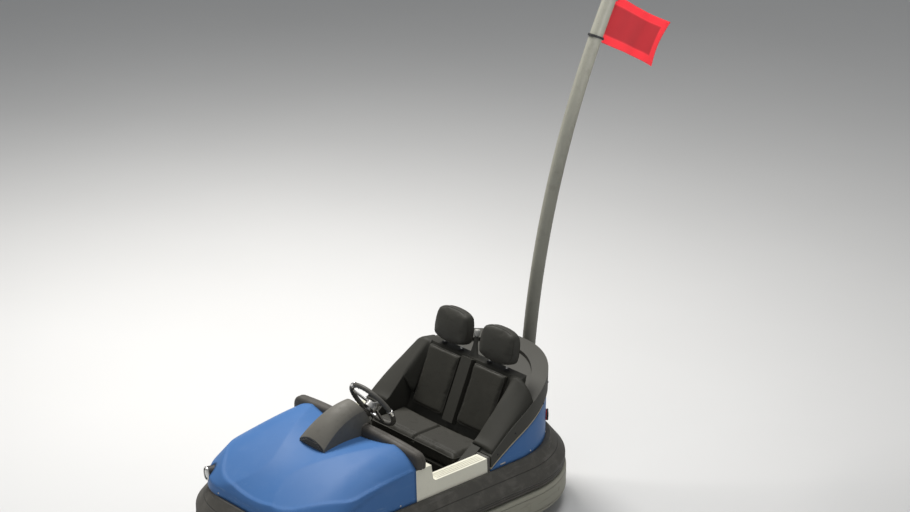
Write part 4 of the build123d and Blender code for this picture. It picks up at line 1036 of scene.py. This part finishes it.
def make_headrests():
    width, height, depth, lift, inset = 0.268, 0.196, 0.088, 0.022, 0.012
    inward = HEADREST_SEAT.inverted()

    def shaped(out, share, rise):
        """Place from how far out, across (-1 to 1) and up (0 to 1): narrower and crowned at both ends."""
        rise = clamp(rise, 0.0, 1.0)
        across = share * width / 2 * (1.0 - 0.15 * rise**2 - 0.10 * (1.0 - rise) ** 2)
        up = lift + rise * height - 0.020 * share**2 * rise + 0.018 * share**2 * (1.0 - rise)
        return HEADREST_SEAT @ Vector((0.012 + out * (1.0 - 0.24 * rise**3), middle_y + across, up))

    for side, name in SIDES:
        pad = separate("headrests", "headrest_" + name, side)
        middle_y = side * SEAT_PITCH / 2
        fine = pad.modifiers.new("fine", "SUBSURF")
        fine.subdivision_type, fine.levels = "SIMPLE", 2
        applied(pad)
        for vert in pad.data.vertices:
            spot = inward @ vert.co
            vert.co = shaped(spot.x, (spot.y - middle_y) / (width / 2), (spot.z - 0.016) / height)
        pad = stuffed(pad, voxel=0.006, shrink=0.004, cap=0.008)
        finish_pad(pad, "headrest_vinyl")
        outline = rounded_loop(width - inset, height - inset, 0.060)
        for face, where in (("front", depth / 2 - 0.020), ("rear", 0.020 - depth / 2)):
            loop = [shaped(where, 2 * y / width, z / height + 0.5) for y, z in outline]
            welt("headrest_welt_%s_%s" % (face, name), pad, loop, 0.0026)
        yield pad


def make_dash_pad():
    pad = stuffed(copied("dash_pad", "dash_roll"), voxel=0.006, shrink=0.002, cap=0.004, pressure=3.0)
    low, high = corners_of("dash_pad")
    seam = (low.x + high.x) / 2 - 0.002
    sink_seam(pad, depth=0.0030, width=0.0045, how_far=lambda p: abs(p.x - seam))
    finish_pad(pad, "roll_vinyl", "dash_vinyl")
    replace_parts(pad, "dash_pad")


make_bench()
for make, node in ((make_backs, "back_pads"), (make_headrests, "headrests")):
    for pad in list(make()):
        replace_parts(pad, node)
make_dash_pad()


# ---------------------------------------------------------------- bumper, bonnet and sills
def block_into(bm, place, size, radius):
    """Add a block with rounded edges, centred on the place."""
    made = bmesh.ops.create_cube(bm, size=1.0, matrix=place @ Matrix.Diagonal((*size, 1)))
    edges = {e for v in made["verts"] for e in v.link_edges}
    bmesh.ops.bevel(bm, geom=list(edges), offset=radius, segments=3, affect="EDGES", profile=0.5)


def blocks(name, rows_of, body, finish):
    """Rounded blocks from (place, size, radius) rows."""

    def rows(bm):
        for row in rows_of:
            block_into(bm, *row)

    return new_piece(name, rows, body, finish, 40)


def ribbed(name, place, length, width, thick, pitch, height):
    """A rubber mat lying in the place's XY plane, with rounded ribs across its length."""
    count = int(length / pitch)
    half = 0.32 * pitch
    rib = ((-1, 0), (-0.6, 0.8), (0, 1), (0.6, 0.8), (1, 0))
    section = [(-length / 2, 0)]
    for k in range(count):
        start = -length / 2 + (k + 0.5) * length / count
        section += [(start + across * half, thick + up * height) for across, up in rib]
    section.append((length / 2, 0))

    def rows(bm):
        sides = (-width / 2, width / 2)
        left, right = ([bm.verts.new(place @ Vector((x, y, z))) for x, z in section] for y in sides)
        join_rings(bm, left, right)
        bm.faces.new(left)
        bm.faces.new(right[::-1])

    return new_piece(name, rows, "car", "grip_rubber", 50)


def make_bumper_fixings():
    band_middle, roll_middle = 0.152, 0.254
    band = loop_on("bumper_band", band_middle)
    spots = [facing(*band[k]) for k in spaced([p for p, _ in band], 0.27)]
    plug = [(0, 0.0034), (0.0060, 0.0030), (0.0072, 0.0010), (0.0100, 0.0018), (0.0120, 0.0012)]
    turned("band_plugs", plug + [(0.0126, -0.0006)], spots, "car", "band_rubber", 24)
    # A strap covers the joint of the rubber in the middle of the stern.
    straps = []
    for node, height, size in (
        ("bumper_band", band_middle, (0.052, 0.100, 0.005)),
        ("bumper_roll", roll_middle, (0.052, 0.036, 0.004)),
    ):
        seats = Skin(nodes[node]).seats([(at(-2, 0, height), (1, 0, 0))])
        straps += [(seat, size, 0.0018) for seat in seats]
    blocks("joint_straps", straps, "car", "frame_paint")
    rays = [(at(-2, y, z), (1, 0, 0)) for y in (-0.015, 0.015) for z in (0.118, 0.186)]
    bolts("joint_bolts", Skin(nodes["bumper_band"]).seats(rays, -0.0026), 0.0050, "car")


def make_body_screws():
    """Screws along the lower edges of the bonnet and the rear body."""
    edge, pitch = 0.3955, 0.24
    front, stern = at(0.26, 0, 0).x, at(-0.36, 0, 0).x
    foot = [s for s in loop_on("bonnet", edge) if s[0].x > front]
    heads = [facing(*foot[k]) for k in spaced([p for p, _ in foot], pitch) if 0 < k < len(foot) - 1]
    foot = [s for s in loop_on("rear_body", edge) if s[0].x < stern and abs(s[0].y) > 0.08]
    heads += [facing(*foot[k]) for k in spaced([p for p, _ in foot], pitch)]
    screws("body_screws", heads, 0.0052, "car", "steel")


def coaming_middle(x):
    """Height of the middle of the coaming's face, by place along the car: a curve through three points."""
    rows = ((-0.288, 0.428), (-0.640, 0.626), (-1.020, 0.723))
    total = 0.0
    for i, (xi, zi) in enumerate(rows):
        share = 1.0
        for j, (xj, _) in enumerate(rows):
            if i != j:
                share *= (x - xj) / (xi - xj)
        total += share * zi
    return total


def make_coaming_screws():
    rays = []
    for side in (-1, 1):
        for x in (-0.335, -0.46, -0.60, -0.74, -0.86):
            away = Vector((-0.25 if x < -0.5 else 0.0, side, 0)).normalized()
            rays.append((at(x, 0, coaming_middle(x)) + away * 1.2, -away))
    screws("coaming_screws", Skin(nodes["coaming"]).seats(rays), 0.0058, "car", "dark_plastic")


def make_sill_treads():
    """Raised ribs on the sills to step on, and rubber caps at their rear ends."""
    line = ((-0.252, 0.4578), (-0.247, 0.4590), (-0.10, 0.4590), (0.062, 0.4590), (0.067, 0.4578))
    innermost, pitch = 0.422, 0.0135
    for side, name in SIDES:
        for row in range(4):
            points = [at(x, side * (innermost + pitch * row), z) for x, z in line]
            cord_piece("sill_rib_%s_%d" % (name, row), points, 0.0022, "car", "cream_plastic")
    places = [Matrix.Translation(at(-0.2755, side * 0.4375, 0.4205)) for side in (-1, 1)]
    blocks("sill_caps", [(place, (0.021, 0.0865, 0.0845), 0.006) for place in places], "car", "grip_rubber")


def make_scoop_vent():
    """Dark louvred face that closes the scoop's front."""
    front, half, foot, crown, drop = 0.4785, 0.084, 0.602, 0.6395, 0.026
    arch = [(y, crown - drop * (y / half) ** 2) for y in (half * (k / 8 - 1) for k in range(17))]
    outline = [(-half, foot)] + arch + [(half, foot)]

    def rows(bm):
        rear = [bm.verts.new(at(front - 0.001, y, z)) for y, z in outline]
        face = [bm.verts.new(at(front + 0.0022, y * 0.985, z - 0.0006)) for y, z in outline]
        join_rings(bm, rear, face)
        bm.faces.new(face)
        bm.faces.new(rear[::-1])

    new_piece("scoop_vent", rows, "car", "dark_plastic")
    for k, z in enumerate((0.6085, 0.6155, 0.6225, 0.6295)):
        reach = half * math.sqrt(clamp((crown - z - 0.002) / drop, 0.0, 1.0)) - 0.004
        points = [at(front + 0.003, y, z) for y in (-reach, -0.4 * reach, 0.4 * reach, reach)]
        cord_piece("vent_louvre_%d" % k, points, 0.0017, "car", "dash_vinyl")


def rounded_row(points, rounds=3):
    """Cut the corners of an open row of points, its ends kept."""
    for _ in range(rounds):
        inner = []
        for a, b in zip(points, points[1:]):
            inner += [a * 0.75 + b * 0.25, a * 0.25 + b * 0.75]
        points = [points[0]] + inner[1:-1] + [points[-1]]
    return points


def make_side_liners():
    """Bolsters that carry the seat back's edge up over the side frames to the coaming in one sweep."""
    coaming, tub = Skin(nodes["coaming"]), Skin(nodes["seat_tub"])
    above, start, run, stations = 1.2, -0.296, 0.304, 20
    for side, name in SIDES:
        grid = []
        for k in range(stations + 1):
            x = start - run * k / stations
            outer = coaming.hit(at(x, side * 1.2, coaming_middle(x) + 0.02), (0, -side, 0))[0].y
            rim = coaming.hit(at(x, outer - side * 0.009, above), (0, 0, -1))[0].z
            top = tub.hit(at(x, side * 0.366, above), (0, 0, -1))[0].z
            back = BACK_FOOT[1] + (BACK_FOOT[0] - x) * BACK_RISE / BACK_RUN
            share = clamp((-0.425 - x) / 0.05, 0.0, 1.0)
            foot = top + 0.003 + (min(back + 0.004, top + 0.003) - top - 0.003) * share
            row = [
                at(x, side * (0.336 - 0.032 * share), foot),
                at(x, side * (0.338 - 0.022 * share), foot + (top + 0.004 - foot) * 0.55),
                at(x, side * (0.340 - 0.012 * share), top + 0.005),
                at(x, side * 0.368, top + 0.007),
                at(x, side * 0.400 * 0.5 + outer * 0.5, (top + rim) / 2 + 0.010),
                at(x, outer - side * 0.006, rim + 0.002),
            ]
            grid.append(rounded_row(row))
        liner = new_piece("side_liner_" + name, lambda bm: sheet_into(bm, grid), "car", "seat_shell", 60)
        thickened(liner, 0.003)


def make_centre_post():
    """Upright on the seat's crown between the headrests, with a light cap."""
    foot, lean, cap_height = at(-0.634, -0.016, 0.757), 0.18, 0.120
    # Height, half width and half thickness from the foot up
    sections = ((0.0, 0.030, 0.017), (0.006, 0.024, 0.015), (0.06, 0.012, 0.010), (0.104, 0.010, 0.009))

    def rows(bm):
        rings = []
        for z, half_y, half_x in sections:
            spots = [Vector((-lean * z + x * half_x, y * half_y, z)) for x, y in rounded_loop(2, 2, 0.7, 5)]
            rings.append([bm.verts.new(foot + spot) for spot in spots])
        for low, high in zip(rings, rings[1:]):
            join_rings(bm, low, high)
        bm.faces.new(rings[0][::-1])
        bm.faces.new(rings[-1])

    new_piece("centre_post", rows, "car", "grey_plastic")
    cap = Matrix.Translation(foot + Vector((-lean * cap_height, 0, cap_height))) @ tilt(-10)
    blocks("centre_post_cap", [(cap, (0.026, 0.028, 0.038), 0.008)], "car", "light_plastic")


make_side_liners()
make_centre_post()
make_bumper_fixings()
make_body_screws()
make_coaming_screws()
make_sill_treads()
make_scoop_vent()


# ---------------------------------------------------------------- lamps
def faces_of(node, degrees):
    """Middles of the end faces of a pair of lamps, which look outwards by the angle from straight ahead."""
    out = []
    for side in (1, -1):
        way = polar(1, side * math.radians(degrees)).normalized()
        verts = [v.co for v in nodes[node].data.vertices if v.co.y * side > 0]
        reach = max(v.dot(way) for v in verts)
        low, high = extent([v for v in verts if v.dot(way) > reach - 0.0012])
        out.append(facing((low + high) / 2, way))
    return out


def make_lamps():
    ahead, astern = 16, 136
    bright = [(0.0290, -0.004), (0.0300, 0.0016), (0.0330, 0.0030), (0.0362, 0.0016), (0.0372, -0.004)]
    clear = [(0, 0.0060), (0.010, 0.0056), (0.019, 0.0040), (0.0255, 0.0012), (0.0275, -0.0008)]
    dark = [(0.0245, -0.003), (0.0255, 0.0016), (0.0280, 0.0026), (0.0303, 0.0012), (0.0310, -0.006)]
    red = [(0, 0.0050), (0.009, 0.0047), (0.017, 0.0034), (0.0228, 0.0012), (0.0248, -0.0008)]
    for name, profile, node, degrees, finish, segments in (
        ("headlamp_rings", bright, "headlamp_bezels", ahead, "bright_trim", 48),
        ("headlamp_domes", clear, "headlamp_lenses", ahead, "clear_lens", 48),
        ("tail_lamp_rings", dark, "tail_lamps", astern, "dark_plastic", 40),
        ("tail_lamp_domes", red, "tail_lamps", astern, "red_lens", 40),
    ):
        turned(name, profile, faces_of(node, degrees), "car", finish, segments)


make_lamps()


# ---------------------------------------------------------------- cockpit fittings
def make_cockpit():
    floor_top = corners_of("floor_tray")[0].z + 0.003
    mat = Matrix.Translation((at(0.008, 0, 0).x, 0, floor_top))
    ribbed("floor_mat", mat, length=0.330, width=0.780, thick=0.003, pitch=0.0125, height=0.0022)
    plate = Matrix.Translation(at(0.205, 0.120, floor_top + 0.0103)) @ tilt(-50)
    pad = plate @ Matrix.Translation((0.079, 0, 0.0082))
    ribbed("pedal_rubber", pad, length=0.126, width=0.078, thick=0.0024, pitch=0.0120, height=0.0020)

    def on_panel(*spots):
        return Skin(nodes["dash_panel"]).seats([(at(-0.3, y, z), (1, 0, 0)) for y, z in spots])

    button = [(0, 0.0120), (0.008, 0.0115), (0.0105, 0.0092), (0.0108, 0.0030), (0.0165, 0.0026)]
    key = [(0, 0.0042), (0.0070, 0.0042), (0.0078, 0.0034), (0.0078, 0.0020), (0.0125, 0.0016)]
    button += [(0.0180, 0.0010), (0.0182, -0.0005)]
    key += [(0.0135, 0), (0.0135, -0.0005)]
    turned("start_button", button, on_panel((0.150, 0.530)), "car", "red_lens")
    turned("key_switch", key, on_panel((0.205, 0.530)), "car", "bright_trim")
    seats = on_panel(*((-0.150, 0.505 + 0.010 * k) for k in range(6)))
    slots = [(seat @ tilt(90, "Z"), (0.0046, 0.074, 0.0030), 0.0014) for seat in seats]
    blocks("panel_slots", slots, "car", "grip_rubber")
    # Collars at the foot of the headrests' posts.
    collar = [(0.0082, 0.006), (0.0125, 0.0055), (0.0150, 0.0025), (0.0155, 0.0), (0.0082, 0.0)]
    across = [side * SEAT_PITCH / 2 + step * 0.065 for side in (-1, 1) for step in (-1, 1)]
    places = [HEADREST_SEAT @ Matrix.Translation((0, y, 0.0022)) for y in across]
    turned("post_collars", collar, places, "car", "dark_plastic", 24)


make_cockpit()


# ---------------------------------------------------------------- mast fittings
def make_mast_fittings():
    bracket = Skin(nodes["mast_bracket"])
    rays = [(at(-1.3, y, z), (1, 0, 0)) for y in (-0.046, 0.046) for z in (0.416, 0.505, 0.600)]
    bolts("bracket_bolts", bracket.seats(rays), 0.0062, "car")
    rays = [(at(-0.985, side * 0.4, z), (0, -side, 0)) for z in (0.424, 0.592) for side in (-1, 1)]
    bolts("collar_bolts", bracket.seats(rays), 0.0050, "car")
    centre, top = middle("contact_shoe"), corners_of("contact_shoe")[1].z
    spots = [(centre.x + x, centre.y + y, top - 0.014) for x in (-0.07, 0.07) for y in (-0.016, 0.016)]
    bolts("shoe_bolts", [facing(Vector(spot), (0, 0, -1)) for spot in spots], 0.0045, "contact_head")


make_mast_fittings()


# ---------------------------------------------------------------- wheels and drive
def tread_profile(radius, inside, width, grooves):
    """Closed section of a solid tyre, (radius, height) about its middle, with grooves round it."""
    half, floor, shoulder = width / 2, radius - 0.0035, radius - 0.007
    edge = [(inside, half), (shoulder - 0.012, half), (shoulder - 0.009, half - 0.0018)]
    edge += [(shoulder, half - 0.0012), (radius - 0.002, half - 0.003), (radius, half - 0.007)]
    out = [(across, -up) for across, up in edge]
    for k in range(grooves):
        line = -half + width * (k + 1) / (grooves + 1)
        steps = ((radius, -0.003), (floor, -0.0016), (floor, 0.0016), (radius, 0.003))
        out += [(across, line + up) for across, up in steps]
    return out + edge[::-1] + out[:1]


def make_wheels():
    # Node, body and piece share a pattern of names; then radius, inner radius, width, grooves, bolt circle
    for pattern, radius, inside, width, grooves, circle in (
        ("drive_%s", 0.125, 0.0921, 0.070, 3, 0.058),
        ("rear_%s_left", 0.100, 0.0701, 0.050, 2, 0.045),
        ("rear_%s_right", 0.100, 0.0701, 0.050, 2, 0.045),
    ):
        node, body = pattern % "tyre", pattern % "wheel"
        centre = middle(node)
        profile = tread_profile(radius, inside, width, grooves)
        tyre = turned(pattern % "tread", profile, [facing(centre, (0, 1, 0))], body, "tyre", 44, 30)
        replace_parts(tyre, node)
        side = 1 if centre.y >= 0 else -1
        ways = [Vector((circle * math.cos(a), side * 0.0040, circle * math.sin(a))) for a in angles(5)]
        bolts(body + "_bolts", [facing(centre + way, (0, side, 0)) for way in ways], 0.0050, body)


def make_motor():
    """Finned motor case with a terminal box on its side."""
    low, high = corners_of("drive_motor")
    centre = (low + high) / 2
    radius, fins = (high.x - low.x) / 2, 9
    tall = high.z - low.z
    root, rim = radius - 0.009, radius - 0.001
    profile = [(0, 0), (radius, 0), (radius, 0.012), (root, 0.014)]
    pitch = (tall - 0.052) / fins
    for k in range(fins):
        z = 0.016 + pitch * k
        fin = ((root, 0.15), (rim, 0.30), (rim, 0.60), (root, 0.80))
        profile += [(out, z + share * pitch) for out, share in fin]
    lid = ((radius - 0.004, 0.032), (radius - 0.005, 0.020), (radius - 0.018, 0.008), (0.030, 0.004))
    profile += [(out, tall - down) for out, down in lid + ((0.026, 0.001), (0, 0.001))]
    place = Matrix.Translation((centre.x, centre.y, low.z))
    case = turned("motor_case", profile, [place], "drive_unit", "motor_paint", 64)
    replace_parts(case, "drive_motor")
    box_place = Matrix.Translation((centre.x + radius - 0.012, centre.y, low.z + 0.6 * tall))
    blocks("motor_terminal_box", [(box_place, (0.022, 0.056, 0.050), 0.004)], "drive_unit", "dark_plastic")
    foot = Vector((centre.x, centre.y, high.z - 0.0085))
    heads = [Matrix.Translation(foot + polar(0.060, a)) for a in angles(4, math.pi / 4)]
    bolts("motor_bolts", heads, 0.0040, "drive_unit")


make_wheels()
make_motor()

boxes = (("cad", cad_box), ("visual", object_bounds()))
{name: [list(corner) for corner in box] for name, box in boxes}
